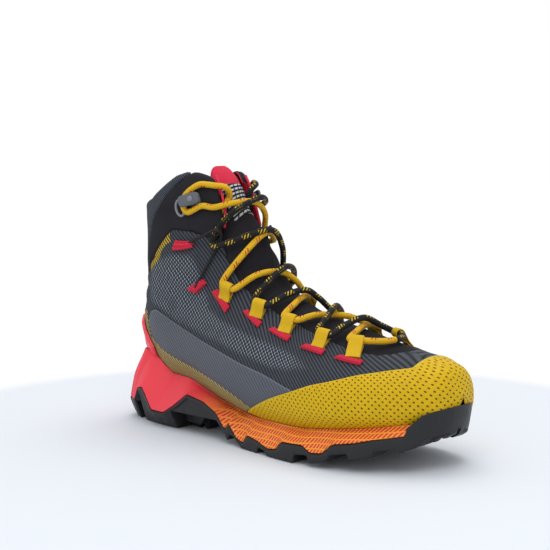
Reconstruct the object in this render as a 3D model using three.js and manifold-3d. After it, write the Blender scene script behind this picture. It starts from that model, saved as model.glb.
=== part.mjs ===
// A right-foot mountaineering boot, laced, in millimetres: +X to the toe, +Y to the medial
// (big toe) side, +Z up, standing on z = 0. Every panel of the upper is a thin shell that
// follows one body surface, the shape of the lasted boot, at its own depth below or above it.
import * as THREE from 'three';
import { mergeVertices } from 'three/addons/utils/BufferGeometryUtils.js';
import Module from 'manifold-3d';

const wasm = await Module();
wasm.setup();

// ---------------------------------------------------------------- driving dimensions
// Stations of the boot surface, from the toe tip (u = 0) over the foot and up the shaft.
// u, top centre line x z, bottom centre line x z, lateral and medial half widths,
// centre y, height fraction of the widest level, upper and lower roundness exponents.
const STATIONS = [
  [0, 141, 47, 141, 43, 1, 1, 7, 0.45, 2.0, 2.0],
  [8, 137, 62, 137, 31, 18, 17, 7, 0.44, 2.1, 2.3],
  [20, 126, 69, 126, 26, 29, 27, 6, 0.42, 2.1, 2.5],
  [40, 106, 73, 106, 23, 42, 36, 4, 0.38, 2.1, 2.6],
  [62, 84, 78, 84, 20, 50, 42, 2, 0.34, 2.1, 2.6],
  [86, 60, 84, 57, 16, 51, 44, 1, 0.33, 2.05, 2.6],
  [112, 35, 90, 25, 14, 48, 42, 0, 0.34, 2.0, 2.6],
  [138, 11, 99, -8, 16, 44, 39, -1, 0.36, 2.0, 2.6],
  [162, -7, 112, -42, 22, 40, 36, -1, 0.37, 2.0, 2.5],
  [184, -19, 129, -78, 30, 36, 35, 0, 0.38, 2.0, 2.4],
  [204, -29, 148, -112, 37, 33, 34, 0, 0.4, 2.0, 2.4],
  [222, -38, 166, -134, 66, 33, 33, 0, 0.42, 2.0, 2.3],
  [238, -47, 180, -131, 110, 33, 33, 0, 0.46, 2.1, 2.2],
  [252, -56, 191, -129, 142, 33, 33, 0, 0.48, 2.2, 2.3],
  [268, -68, 203, -132, 172, 34, 34, 0, 0.5, 2.3, 2.4],
];
const GRID_U = [0, 5, 13, 25, 40, 58, 78, 100, 122, 143, 162, 179, 193, 205, 215, 224, 235, 246,
  257, 267];
const GRID_V = 24;
const ROUND = 230; // mm round the surface for one turn of v, near the throat
const SEAM = 0.4; // half of the gap left between neighbouring panels
const FRAME = { x: 2.5, y: 3.0 }; // moves the boot so its box is centred on the origin

// Depths of the layers below (-) and above (+) the boot surface.
const LAYER = {
  footbed: [-9.9, -6.9],
  lining: [-6.4, -5.4],
  padding: [-5.0, -1.9],
  stiffener: [-2.9, -1.9],
  shell: [-1.5, 0],
  film: [0.3, 1.1],
  clip: [1.5, 3.4],
  tab: [0.5, 1.3],
};

// Seams of the upper as curves in the side view.
const TOE_CAP_X_AT_Z = [[10, -30], [21, -13], [33, 12], [39, 25], [47, 47], [52, 60], [56, 75],
  [61, 91], [64, 106], [66, 118], [80, 121]];
const PANEL_TOP = [[-122, 60], [-118, 74], [-110, 83], [-104, 84], [-83, 77], [-54, 69],
  [-24, 61], [-7, 58], [15, 54], [38, 48], [60, 44]];
const PANEL_BOTTOM = [[-122, 64], [-101, 51], [-82, 46], [-57, 41], [-32, 36], [-10, 30],
  [1, 26], [20, 20]];
const COLLAR_SEAM = [[-134, 97], [-124, 108], [-113, 120], [-105, 128], [-98, 135], [-92, 141],
  [-85, 146], [-70, 145], [-56, 141], [-40, 139]];
const COLLAR_TOP = [[-140, 163], [-126, 164], [-112, 167], [-102, 173], [-94, 178], [-83, 185],
  [-75, 188], [-67, 188], [-61, 186], [-52, 180]];
const ACHILLES_X_AT_Z = [[96, -118], [115, -118], [135, -115], [155, -104], [170, -91],
  [180, -80], [190, -68]];
// Slopes that turn a height or length difference into a distance along the surface.
const SLOPE = { seam: 0.75, top: 0.8, toe: 0.7 };
const MARGIN = { toeHole: 7, lastBottom: 14, foldHeight: 50, underSole: 6, underBand: 12,
  capUnderfoot: 26 };
const HEEL_BAND = { front: -117, top: 84 }; // the lower band runs up round the heel
const SIDE_PANEL_REAR = -116;
const BACK_OF_BOOT = -60; // the Achilles panel lies behind this x
const INSIDE = 9; // a value well inside a region
// Half width of the throat opening, in turns of v, along u.
const THROAT = [[38, -0.04], [42, 0], [46, 0.05], [52, 0.074], [70, 0.086], [90, 0.082],
  [118, 0.077], [156, 0.088], [179, 0.115], [200, 0.12], [213, 0.113], [224, 0.094],
  [245, 0.083], [270, 0.083]];
const TONGUE_SINK = [[205, 0], [220, 6], [270, 6]]; // the tongue top leans inwards
const TONGUE = { start: 40, end: 262, rounding: 0.028, hem: 1 };
const MESH_INSERT = { half: 0.062, from: 216, to: 242, layer: [-1.6, -1.0] };
const PADDING = { overSeam: 6, underTop: 3 };
const LINING = { closed: 38, underTop: 0.5 }; // closed over the toes up to this u
const COUNTER = { front: -62, bottom: 50, top: 92 };
const PUFF = { rear: 96, bottom: 35.5, top: 36 };
const BOARD = { half: 34, front: 118, top: 48.5 };
const SHANK = { half: 12.5, front: 72, rear: 200 };
const FOOTBED = { half: 44, front: 124, rear: 212 };
const TONGUE_OVERLAP = 0.032; // turns of v that the tongue reaches under the upper
const TONGUE_GAP = 9; // between the tongue's edge and the lining, so the tongue can sink

// Sole: plan outline, and side-view profiles of the feather edge, the seam between the
// midsole foam and the rubber, and the tread.
const SOLE_LATERAL = [[-149, -2], [-147, -15], [-140, -25], [-128, -33], [-112, -38], [-90, -41],
  [-60, -42], [-30, -43], [0, -47], [30, -52], [60, -54], [84, -52], [106, -43], [122, -31],
  [130, -25], [136, -17], [141, -8], [144, 1]];
const SOLE_MEDIAL = [[-149, 2], [-147, 15], [-140, 25], [-128, 33], [-112, 37], [-90, 38],
  [-60, 37], [-30, 37], [0, 40], [30, 44], [60, 48], [84, 48], [106, 44], [122, 37.5],
  [130, 33], [136, 28], [141, 20], [144, 12]];
const FEATHER_Z = [[-150, 53], [-112, 53], [-108, 50], [-96, 47], [-88, 41], [-66, 41], [-52, 36],
  [-29, 27], [-11, 22], [9, 21], [50, 22], [80, 26], [103, 29], [123, 32], [145, 34]];
const FOAM_BOTTOM_Z = [[-150, 15], [-130, 15], [-124, 25], [-116, 27], [-110, 22], [-102, 12],
  [-88, 12], [-76, 19], [-62, 29], [-45, 26], [-32, 20], [-22, 10], [-18, 15], [-9, 6], [-2, 4],
  [3, 10], [15, 8], [25, 5], [33, 6], [39, 12], [58, 13], [65, 9], [74, 10], [82, 17], [95, 19],
  [107, 22], [124, 25], [146, 28]];
const TREAD_Z = [[-150, 7], [-142, 1], [-138, 0], [-129, 0], [-128, 17], [-122, 17], [-121, 0],
  [-81, 0], [-80, 11], [-66, 19], [-58, 24], [-50, 24], [-40, 13], [-28, 9], [-20, 3], [-18, 3],
  [-17, 7], [-10, 6], [-4, 0], [14, 0], [15, 4], [22, 3], [24, 0], [50, 0], [51, 6], [62, 7], [64, 2],
  [78, 6], [80, 10], [92, 12], [93, 8], [106, 11], [107, 15], [118, 16], [120, 14], [132, 19],
  [133, 22], [146, 26]];
const BUMPER_TOP = [[124, 30], [127, 33], [131, 38], [135, 40], [145, 43.5]];
const MIDSOLE_END = 123;
const HEEL_LEAN = { from: 12, start: 105, end: 150, back: 0.2, sides: 0.0022, most: 0.1 };
const SOLE_ENDS = [-149, 144];
// The sole under the middle of the foot; it rises from `from` on towards the toe.
const KEEL = { foam: 16, rubber: 11, share: 0.55, from: 100, rise: 0.25 };
const STEP = 0.8; // the sections of the sole stand at least this far apart
const JOINT_GAP = 0.15; // half of the gap between the foam and the rubber
const BUMPER_FOOT = 25; // height where the bumper takes over from the foam
const CLIP = { front: -113, bottom: 57, top: 78 };
const CUP = 1.5; // clearance of the sole's cup from the upper's surface

// Lacing: eyelets up the throat as u, v on the lateral side; the medial side mirrors them.
const LACE_RADIUS = 2.2;
const LACE_LIFT = 2.8; // height of the lace's centre over the boot surface
const LOOP_LIFT = 4.7; // and inside a webbing loop
const CROSS_LIFT = 8.9; // and of the upper lace where two cross
const EYELETS = [
  { u: 69, v: 0.068, tab: [63, 0.121] },
  { u: 92, v: 0.084, tab: [91.5, 0.123] },
  { u: 124, v: 0.084, tab: [122.5, 0.123] },
  { u: 152, v: 0.1, tab: [149.5, 0.133] },
  { u: 183, v: 0.138, tab: [180.5, 0.166] },
];
const CROSSINGS = [82.5, 108, 138, 168, 199, 221]; // u of each crossing on the centre line
const ANKLE = { u: 213, v: 0.13, tabs: [[204, 0.192], [226, 0.192]] };
const HOOK = { u: 241, v: 0.155, post: 2.6, tall: 6, lift: 4.2 };
// The end of a lace: off the hook, under the collar's edge, and down inside the boot.
const TAIL = [[246.5, 0.146, 4.3], [246, 0.126, 4.4], [243.5, 0.108, 4.3], [240.5, 0.09, 3.9],
  [237.5, 0.069, 2.6], [234.5, 0.057, -1], [231.5, 0.06, -4], [228, 0.084, -4.8],
  [224, 0.12, -4.8], [219, 0.155, -6.2], [213, 0.179, -9.4], [203, 0.2, -9.8],
  [190, 0.21, -9.8], [176, 0.22, -9.8], [160, 0.225, -9.8]];
const TUCK = { u: 218, spread: 10, extra: 3 }; // the lining leaves the lace a way in
const AGLET = { radius: 1.9, length: 14 };
const LACE_STEPS = 86;
const WEBBING = 5; // width of the tape of the loops
// Outline of a folded tape from the side: x towards the tab, y outwards, round the lace.
const TAPE = { reach: 12.5, outer: [[8.5, -0.6], [2.5, 3.6]], inner: [[7.5, -1.6], [1.8, 2.7]],
  end: [-1.9, -1.1], centre: -2, radius: 4.1, thick: 0.8, foot: [3, 2.4], curve: 5 };
const TAB = { length: 13, width: 6, skew: 5 };
const ANKLE_TAB = { length: 9, width: 13, skew: 2 };
// The thin cord of the ankle lug as u, v and height, from its lower to its upper tab.
const ANKLE_CORD = [[206, 0.165, 2.4], [210, 0.125, 1.7], [212.5, 0.11, 2.8],
  [216, 0.112, 8.2], [219.5, 0.14, 8], [223, 0.17, 4]];
const CORD = { radius: 0.9, tabHeight: 2.8, ankleSteps: 20, pipingSteps: 9 };
// The hook's parts: length up the shaft, width, bottom and top; the rivet on the cap.
const HOOK_BASE = [9, 9.6, 0.5, 1.5];
const HOOK_CAP = [8.4, 13.4, 6.9, 8.2];
const RIVET = { top: 1.5, bottom: 2, thick: 0.9, height: 8.95 };
const RING = { radius: 5, wire: 0.8, long: 1.15, narrow: 0.7, height: 1.7, behind: 9.2 };
const PIPING = { us: [217, 223, 230, 237, 244, 250], inset: 1.8, height: -0.8 };
const LACE_BAR = [[56, 0.0012, LACE_LIFT], [57.5, 0.032, LACE_LIFT + 0.4]];
const THROUGH = 5; // half of the lace's straight stretch through a loop

// ---------------------------------------------------------------- the boot surface
// Smooth interpolation of rows [x, ...values] at x, with a finite-difference Hermite curve.
function follow(rows, x) {
  const last = rows.length - 1;
  let i = 0;
  while (i < last - 1 && x > rows[i + 1][0]) i++;
  const slope = (k, c) => {
    const chord = (j) => (rows[j + 1][c] - rows[j][c]) / (rows[j + 1][0] - rows[j][0]);
    if (k === 0) return chord(0);
    if (k === last) return chord(last - 1);
    const before = rows[k][0] - rows[k - 1][0];
    const after = rows[k + 1][0] - rows[k][0];
    return (chord(k - 1) * after + chord(k) * before) / (before + after);
  };
  const width = rows[i + 1][0] - rows[i][0];
  const t = (x - rows[i][0]) / width;
  const h = [2 * t ** 3 - 3 * t ** 2 + 1, t ** 3 - 2 * t ** 2 + t, -2 * t ** 3 + 3 * t ** 2,
    t ** 3 - t ** 2];
  return rows[i].slice(1).map((value, k) => h[0] * value + h[1] * width * slope(i, k + 1)
    + h[2] * rows[i + 1][k + 1] + h[3] * width * slope(i + 1, k + 1));
}

// Straight-line interpolation of [x, value] pairs, held constant past both ends.
function along(pairs, x) {
  if (x <= pairs[0][0]) return pairs[0][1];
  for (let i = 1; i < pairs.length; i++) {
    if (x <= pairs[i][0]) {
      const t = (x - pairs[i - 1][0]) / (pairs[i][0] - pairs[i - 1][0]);
      return pairs[i - 1][1] + t * (pairs[i][1] - pairs[i - 1][1]);
    }
  }
  return pairs[pairs.length - 1][1];
}

// A point of the boot surface: v = 0 on the top centre line, 0.25 lateral, 0.5 underneath.
function surface(u, v) {
  const [topX, topZ, bottomX, bottomZ, lateral, medial, centre, level, upper, lower] =
    follow(STATIONS, u);
  const c = Math.cos(2 * Math.PI * v);
  const s = Math.sin(2 * Math.PI * v);
  const power = 2 / (c >= 0 ? upper : lower);
  const rise = Math.sign(c) * Math.abs(c) ** power;
  const reach = Math.sign(s) * Math.abs(s) ** power;
  const height = rise >= 0 ? level + (1 - level) * rise : level + level * rise;
  return new THREE.Vector3(
    bottomX + (topX - bottomX) * height,
    centre - reach * (s >= 0 ? lateral : medial),
    bottomZ + (topZ - bottomZ) * height,
  );
}

function normal(u, v) {
  if (u < 0.5) return new THREE.Vector3(1, 0, 0);
  const step = 0.01;
  const alongU = surface(u + 0.5, v).sub(surface(u - 0.5, v));
  const alongV = surface(u, v + step).sub(surface(u, v - step));
  return alongU.cross(alongV).normalize();
}

// The point at a given height over the boot surface.
function above(u, v, height) {
  return surface(u, v).addScaledVector(normal(u, v), height);
}

// Signed turn of v away from the top centre line, lateral positive: -0.5 to 0.5.
const turn = (v) => (v > 0.5 ? v - 1 : v);

// ---------------------------------------------------------------- solids
function geometryOf(positions, indices) {
  const geometry = new THREE.BufferGeometry();
  geometry.setAttribute('position', new THREE.Float32BufferAttribute(positions, 3));
  geometry.setIndex(indices);
  geometry.computeVertexNormals();
  return geometry;
}

// A closed sheet: the part of the surface grid where region(u, v, point) > 0, between two
// depths. Each grid triangle is clipped at the region's edge; the rim closes both faces.
// lift(u, v) is added to both depths.
function sheet(region, [low, high], lift = () => 0) {
  const vertices = [];
  const faces = [];
  const known = new Map();
  const nodes = GRID_U.map((u, i) => Array.from({ length: GRID_V }, (_, j) => {
    const v = j / GRID_V;
    const key = i === 0 ? 'tip' : `${i}_${j}`;
    const point = surface(u, v);
    const extra = lift(u, v);
    const value = region(u, v, point) || 1e-6;
    return { key, value, faces: [above(u, v, high + extra), above(u, v, low + extra)] };
  }));
  const index = (key, make) => {
    if (!known.has(key)) {
      known.set(key, vertices.length);
      vertices.push(make());
    }
    return known.get(key);
  };
  const corner = (node) => index(node.key, () => node.faces);
  const cut = (a, b) => {
    if (a.key > b.key) [a, b] = [b, a];
    return index(`${a.key}|${b.key}`, () => {
      const t = THREE.MathUtils.clamp(a.value / (a.value - b.value), 0.02, 0.98);
      return [0, 1].map((k) => a.faces[k].clone().lerp(b.faces[k], t));
    });
  };
  const clip = (triangle) => {
    const loop = [];
    triangle.forEach((a, k) => {
      const b = triangle[(k + 1) % 3];
      if (a.value > 0) loop.push(corner(a));
      if (a.key !== b.key && a.value > 0 !== b.value > 0) loop.push(cut(a, b));
    });
    const ring = loop.filter((id, k) => id !== loop[(k + 1) % loop.length]);
    for (let k = 1; k + 1 < ring.length; k++) faces.push([ring[0], ring[k], ring[k + 1]]);
  };
  for (let i = 0; i + 1 < GRID_U.length; i++) {
    for (let j = 0; j < GRID_V; j++) {
      const [a, b] = [nodes[i][j], nodes[i][(j + 1) % GRID_V]];
      const [d, c] = [nodes[i + 1][j], nodes[i + 1][(j + 1) % GRID_V]];
      clip([a, d, c]);
      if (i > 0) clip([a, c, b]);
    }
  }
  const count = vertices.length;
  const positions = [0, 1].flatMap((k) => vertices.flatMap((pair) => pair[k].toArray()));
  const indices = faces.flatMap(([a, b, c]) => [a, b, c, a + count, c + count, b + count]);
  const edges = new Set(faces.flatMap(([a, b, c]) => [`${a},${b}`, `${b},${c}`, `${c},${a}`]));
  for (const edge of edges) {
    const [a, b] = edge.split(',').map(Number);
    if (!edges.has(`${b},${a}`)) indices.push(b, a, a + count, b, a + count, b + count);
  }
  return geometryOf(positions, indices);
}

// The whole boot as one closed lump at a given offset, to cut the sole's cup.
function lump(offset) {
  const positions = [above(0, 0, offset).toArray()];
  const indices = [];
  const rows = GRID_U.slice(1);
  rows.forEach((u) => {
    for (let j = 0; j < GRID_V; j++) positions.push(above(u, j / GRID_V, offset).toArray());
  });
  const id = (i, j) => 1 + i * GRID_V + (j % GRID_V);
  const lid = positions.length;
  const rim = positions.slice(id(rows.length - 1, 0));
  positions.push([0, 1, 2].map((axis) => rim.reduce((sum, p) => sum + p[axis], 0) / GRID_V));
  for (let j = 0; j < GRID_V; j++) {
    indices.push(0, id(0, j), id(0, j + 1));
    for (let i = 0; i + 1 < rows.length; i++) {
      indices.push(id(i, j), id(i + 1, j), id(i + 1, j + 1));
      indices.push(id(i, j), id(i + 1, j + 1), id(i, j + 1));
    }
    indices.push(id(rows.length - 1, j), lid, id(rows.length - 1, j + 1));
  }
  return geometryOf(positions.flat(), indices);
}

// A solid lofted along X from closed (y, z) sections that all have the same point count.
function loft(sections) {
  const size = sections[0].points.length;
  const positions = sections.flatMap(({ x, points }) => points.flatMap(([y, z]) => [x, y, z]));
  const indices = [];
  for (let i = 0; i + 1 < sections.length; i++) {
    for (let j = 0; j < size; j++) {
      const [a, b] = [i * size + j, i * size + ((j + 1) % size)];
      indices.push(a, b, b + size, a, b + size, a + size);
    }
  }
  const end = (sections.length - 1) * size;
  for (let j = 1; j + 1 < size; j++) indices.push(0, j + 1, j, end, end + j, end + j + 1);
  return geometryOf(positions, indices);
}

function toSolid(geometry) {
  const bare = geometry.clone();
  bare.deleteAttribute('normal');
  bare.deleteAttribute('uv');
  const merged = mergeVertices(bare, 1e-3);
  return new wasm.Manifold(new wasm.Mesh({
    numProp: 3,
    vertProperties: Float32Array.from(merged.attributes.position.array),
    triVerts: Uint32Array.from(merged.index.array),
  }));
}

// The main body of a cut solid, without the slivers that a cut leaves.
const largest = (solid) => solid.decompose().sort((a, b) => b.volume() - a.volume())[0];

function fromSolid(solid) {
  const mesh = solid.getMesh();
  return geometryOf(Array.from(mesh.vertProperties), Array.from(mesh.triVerts));
}

// A round cord along a curve through the given points.
function cord(points, radius, steps, sides = 8) {
  const curve = new THREE.CatmullRomCurve3(points, false, 'centripetal');
  const section = new THREE.Shape(Array.from({ length: sides }, (_, k) => {
    const angle = (2 * Math.PI * k) / sides;
    return new THREE.Vector2(radius * Math.cos(angle), radius * Math.sin(angle));
  }));
  return new THREE.ExtrudeGeometry(section, { steps, extrudePath: curve, bevelEnabled: false });
}

// A local frame on the surface at (u, v): outwards, towards dir, and across.
function place(geometry, origin, out, towards) {
  const x = towards.clone().addScaledVector(out, -towards.dot(out)).normalize();
  const y = new THREE.Vector3().crossVectors(out, x);
  geometry.applyMatrix4(new THREE.Matrix4().makeBasis(x, y, out).setPosition(origin));
  return geometry;
}

// ---------------------------------------------------------------- regions of the panels
const throat = (u, v) => (Math.abs(turn(v)) - along(THROAT, u)) * ROUND;
const underfoot = (v) => (0.5 - Math.abs(turn(v))) * ROUND; // distance from the bottom line
// Closed under the foot only by the turned-in edge of the upper.
const turnedIn = (v, p) => Math.max(underfoot(v) - MARGIN.lastBottom, p.z - MARGIN.foldHeight);
const collarSeam = (p) => (p.z - along(COLLAR_SEAM, p.x)) * SLOPE.seam;
const collarTop = (p) => (along(COLLAR_TOP, p.x) - p.z) * SLOPE.top;
const toeCap = (p) => (p.x - along(TOE_CAP_X_AT_Z, p.z)) * SLOPE.toe;
const panelTop = (p) => along(PANEL_TOP, p.x) - p.z;
const panelBottom = (p) => p.z - along(PANEL_BOTTOM, p.x);
const achilles = (p) => (along(ACHILLES_X_AT_Z, p.z) - p.x) * SLOPE.seam;
const feather = (p) => p.z - along(FEATHER_Z, p.x);
const lateral = (v) => (turn(v) > 0 ? 1 : -1) * Math.min(Math.abs(turn(v)), 0.5) * ROUND;

const REGIONS = {
  knit_upper: (u, v, p) => Math.min(throat(u, v), -collarSeam(p) - SEAM, turnedIn(v, p),
    u - MARGIN.toeHole),
  toe_cap: (u, v, p) => Math.min(toeCap(p) - SEAM, feather(p) + MARGIN.underSole,
    throat(u, v) - 2, underfoot(v) - MARGIN.capUnderfoot),
  lower_band: (u, v, p) => Math.min(-toeCap(p) - SEAM, feather(p) + MARGIN.underBand,
    Math.max(-panelBottom(p) - SEAM, Math.min(HEEL_BAND.front - p.x, HEEL_BAND.top - p.z))),
  collar: (u, v, p) => Math.min(throat(u, v), collarSeam(p) - SEAM, collarTop(p),
    -achilles(p) - SEAM),
  achilles_panel: (u, v, p) => Math.min(collarSeam(p) - SEAM, collarTop(p),
    achilles(p) - SEAM, p.x < BACK_OF_BOOT ? INSIDE : -INSIDE),
  side_panel: (u, v, p) => Math.min(panelTop(p), panelBottom(p) - SEAM, -toeCap(p) - SEAM,
    p.x - SIDE_PANEL_REAR, throat(u, v)),
};

function sideOnly(region, side) {
  return (u, v, p) => Math.min(region(u, v, p), side * lateral(v));
}

// ---------------------------------------------------------------- the model
const MATERIALS = {
  knit: ['#2e3036', 0.85, 0], yellow: ['#d9b021', 0.6, 0], slate: ['#4a505a', 0.6, 0],
  band: ['#8d8a4e', 0.75, 0], softshell: ['#17171a', 0.8, 0], ribbed: ['#3c434b', 0.8, 0],
  red: ['#d3263f', 0.7, 0], foam: ['#b9b4a8', 0.9, 0], board: ['#c9bfa4', 0.9, 0],
  stiffener: ['#d8d6cf', 0.7, 0], nylon: ['#202022', 0.5, 0], midsole: ['#f0503f', 0.55, 0],
  rubber: ['#1b1c1f', 0.7, 0], hook: ['#6d7480', 0.4, 0.1], wire: ['#8b8f96', 0.35, 0.6],
  black_lace: ['#141416', 0.8, 0], yellow_lace: ['#e4b32c', 0.75, 0], aglet: ['#101012', 0.3, 0],
  mesh: ['#5a5a5c', 0.8, 0],
};

const boot = new THREE.Group();
const shifted = new THREE.Group();
shifted.position.set(FRAME.x, FRAME.y, 0);
boot.add(shifted);

function add(name, geometry, materialName) {
  const [color, roughness, metalness] = MATERIALS[materialName];
  const material = new THREE.MeshStandardMaterial({ color, roughness, metalness });
  const mesh = new THREE.Mesh(geometry, material);
  mesh.name = name;
  shifted.add(mesh);
}

function makeUpper() {
  const tongueEdge = (u, v) => throat(u, v) - TONGUE_OVERLAP * ROUND;
  add('knit_upper', sheet(REGIONS.knit_upper, LAYER.shell), 'knit');
  add('toe_cap', sheet(REGIONS.toe_cap, LAYER.film), 'yellow');
  add('lower_band', sheet(REGIONS.lower_band, LAYER.film), 'band');
  add('achilles_panel', sheet(REGIONS.achilles_panel, LAYER.shell), 'ribbed');
  for (const [side, sign] of [['lateral', 1], ['medial', -1]]) {
    add(`side_panel_${side}`, sheet(sideOnly(REGIONS.side_panel, sign), LAYER.film), 'slate');
    add(`collar_${side}`, sheet(sideOnly(REGIONS.collar, sign), LAYER.shell), 'softshell');
  }
  const clearOfTongue = (u, v) => tongueEdge(u, v) - TONGUE_GAP
    - TUCK.extra * Math.exp(-(((u - TUCK.u) / TUCK.spread) ** 2));
  const padding = (u, v, p) => Math.min(clearOfTongue(u, v), collarSeam(p) - PADDING.overSeam,
    collarTop(p) - PADDING.underTop);
  add('collar_padding', sheet(padding, LAYER.padding), 'foam');
  const lining = (u, v, p) => Math.min(Math.max(LINING.closed - u, clearOfTongue(u, v)),
    collarTop(p) - LINING.underTop, u - MARGIN.toeHole);
  add('lining', sheet(lining, LAYER.lining), 'red');
  const counter = (u, v, p) => Math.min(COUNTER.front - p.x, COUNTER.top - p.z,
    p.z - COUNTER.bottom);
  add('heel_counter', sheet(counter, LAYER.stiffener), 'stiffener');
  const puff = (u, v, p) => Math.min(p.x - PUFF.rear, underfoot(v) - PUFF.bottom, PUFF.top - u,
    u - MARGIN.toeHole);
  add('toe_puff', sheet(puff, LAYER.stiffener), 'stiffener');
}

function makeTongue() {
  const sink = (u) => -along(TONGUE_SINK, u);
  const width = (u, v) => TONGUE_OVERLAP * ROUND - throat(u, v);
  const top = (u, v) => TONGUE.end - TONGUE.rounding * (turn(v) * ROUND) ** 2 - u;
  const tongue = (u, v) => Math.min(width(u, v), u - TONGUE.start, top(u, v));
  add('tongue', sheet(tongue, LAYER.padding, sink), 'softshell');
  const facing = (u, v) => Math.min(width(u, v), u - TONGUE.start, top(u, v))
    - TONGUE.hem;
  add('tongue_lining', sheet(facing, LAYER.lining, sink), 'red');
  const insert = (u, v) => Math.min((MESH_INSERT.half - Math.abs(turn(v))) * ROUND,
    u - MESH_INSERT.from, MESH_INSERT.to - u);
  add('tongue_mesh', sheet(insert, MESH_INSERT.layer, sink), 'mesh');
}

function makeInsole() {
  const board = (u, v, p) => Math.min(BOARD.half - underfoot(v), BOARD.front - p.x,
    BOARD.top - p.z);
  add('lasting_board', sheet(board, LAYER.stiffener), 'board');
  const shank = (u, v, p) => Math.min(SHANK.half - underfoot(v), SHANK.front - p.x,
    SHANK.rear - u);
  add('shank', sheet(shank, LAYER.shell), 'nylon');
  const footbed = (u, v, p) => Math.min(FOOTBED.half - underfoot(v), FOOTBED.front - p.x,
    FOOTBED.rear - u);
  add('footbed', sheet(footbed, LAYER.footbed), 'foam');
}

// Sole sections at every x where a profile bends. The underside falls to `middle` along the
// centre, and the walls lean in towards the upper, most of all round the heel.
function soleBlock(bottom, top, from, to, middle) {
  const bends = [...bottom, ...top, ...SOLE_LATERAL].map(([x]) => x);
  const stations = [from, ...bends, to].filter((x) => x >= from && x <= to)
    .sort((a, b) => a - b).filter((x, i, all) => i === 0 || x - all[i - 1] > STEP);
  const block = loft(stations.map((x) => {
    const low = along(bottom, x);
    const high = Math.max(along(top, x), low + SEAM);
    const [wide, narrow] = [along(SOLE_MEDIAL, x), along(SOLE_LATERAL, x)];
    const keel = Math.min(low, middle + Math.max(0, x - KEEL.from) * KEEL.rise);
    return { x, points: [[narrow, high], [narrow, low], [narrow * KEEL.share, keel],
      [wide * KEEL.share, keel], [wide, low], [wide, high]] };
  }));
  const position = block.attributes.position;
  for (let i = 0; i < position.count; i++) {
    const [x, y, z] = [position.getX(i), position.getY(i), position.getZ(i)];
    const rise = Math.max(0, z - HEEL_LEAN.from);
    const back = THREE.MathUtils.smoothstep(-x, HEEL_LEAN.start, HEEL_LEAN.end);
    position.setX(i, x + back * rise * HEEL_LEAN.back);
    position.setY(i, y * (1 - Math.min(rise * HEEL_LEAN.sides, HEEL_LEAN.most)));
  }
  return block;
}

function makeSole() {
  const raised = (rows, by) => rows.map(([x, z]) => [x, z + by]);
  const cup = toSolid(lump(CUP));
  const foam = toSolid(soleBlock(raised(FOAM_BOTTOM_Z, JOINT_GAP), FEATHER_Z, SOLE_ENDS[0],
    MIDSOLE_END, KEEL.foam));
  const top = [...raised(FOAM_BOTTOM_Z, -JOINT_GAP).filter(([x]) => x < MIDSOLE_END),
    [MIDSOLE_END + 0.2, BUMPER_FOOT], ...BUMPER_TOP];
  const rubber = toSolid(soleBlock(TREAD_Z, top, ...SOLE_ENDS, KEEL.rubber));
  const lowered = foam.translate([0, 0, -2 * JOINT_GAP]).add(foam.translate([2 * JOINT_GAP, 0, 0]));
  add('midsole', fromSolid(largest(foam.subtract(cup))), 'midsole');
  add('outsole', fromSolid(largest(rubber.subtract(cup).subtract(foam).subtract(lowered))),
    'rubber');
  const clip = (u, v, p) => Math.min(CLIP.front - p.x, p.z - CLIP.bottom, CLIP.top - p.z);
  add('heel_clip', sheet(clip, LAYER.clip), 'red');
}

// A small plate sewn on the upper at (u, v), length along u, slanted by skew.
function patch(u, v, { length, width, skew }) {
  const [low, high] = LAYER.tab;
  const [rows, columns] = [3, 2];
  const positions = [];
  for (const height of [high, low]) {
    for (let i = 0; i <= rows; i++) {
      for (let j = 0; j <= columns; j++) {
        const b = (j / columns - 0.5) * width;
        const a = (i / rows - 0.5) * length + (skew * b) / width;
        positions.push(...above(u + a, v + (b / ROUND) * Math.sign(v), height).toArray());
      }
    }
  }
  const indices = [];
  const side = Math.sign(v);
  const id = (i, j, k) => k * (rows + 1) * (columns + 1) + i * (columns + 1) + j;
  const quad = (a, b, c, d) => indices.push(...(side > 0 ? [a, b, c, a, c, d]
    : [a, c, b, a, d, c]));
  for (let i = 0; i < rows; i++) {
    for (let j = 0; j < columns; j++) {
      quad(id(i, j, 0), id(i + 1, j, 0), id(i + 1, j + 1, 0), id(i, j + 1, 0));
      quad(id(i, j, 1), id(i, j + 1, 1), id(i + 1, j + 1, 1), id(i + 1, j, 1));
    }
    quad(id(i, 0, 0), id(i, 0, 1), id(i + 1, 0, 1), id(i + 1, 0, 0));
    quad(id(i, columns, 0), id(i + 1, columns, 0), id(i + 1, columns, 1), id(i, columns, 1));
  }
  for (let j = 0; j < columns; j++) {
    quad(id(0, j, 0), id(0, j + 1, 0), id(0, j + 1, 1), id(0, j, 1));
    quad(id(rows, j, 0), id(rows, j, 1), id(rows, j + 1, 1), id(rows, j + 1, 0));
  }
  return geometryOf(positions, indices);
}

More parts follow.
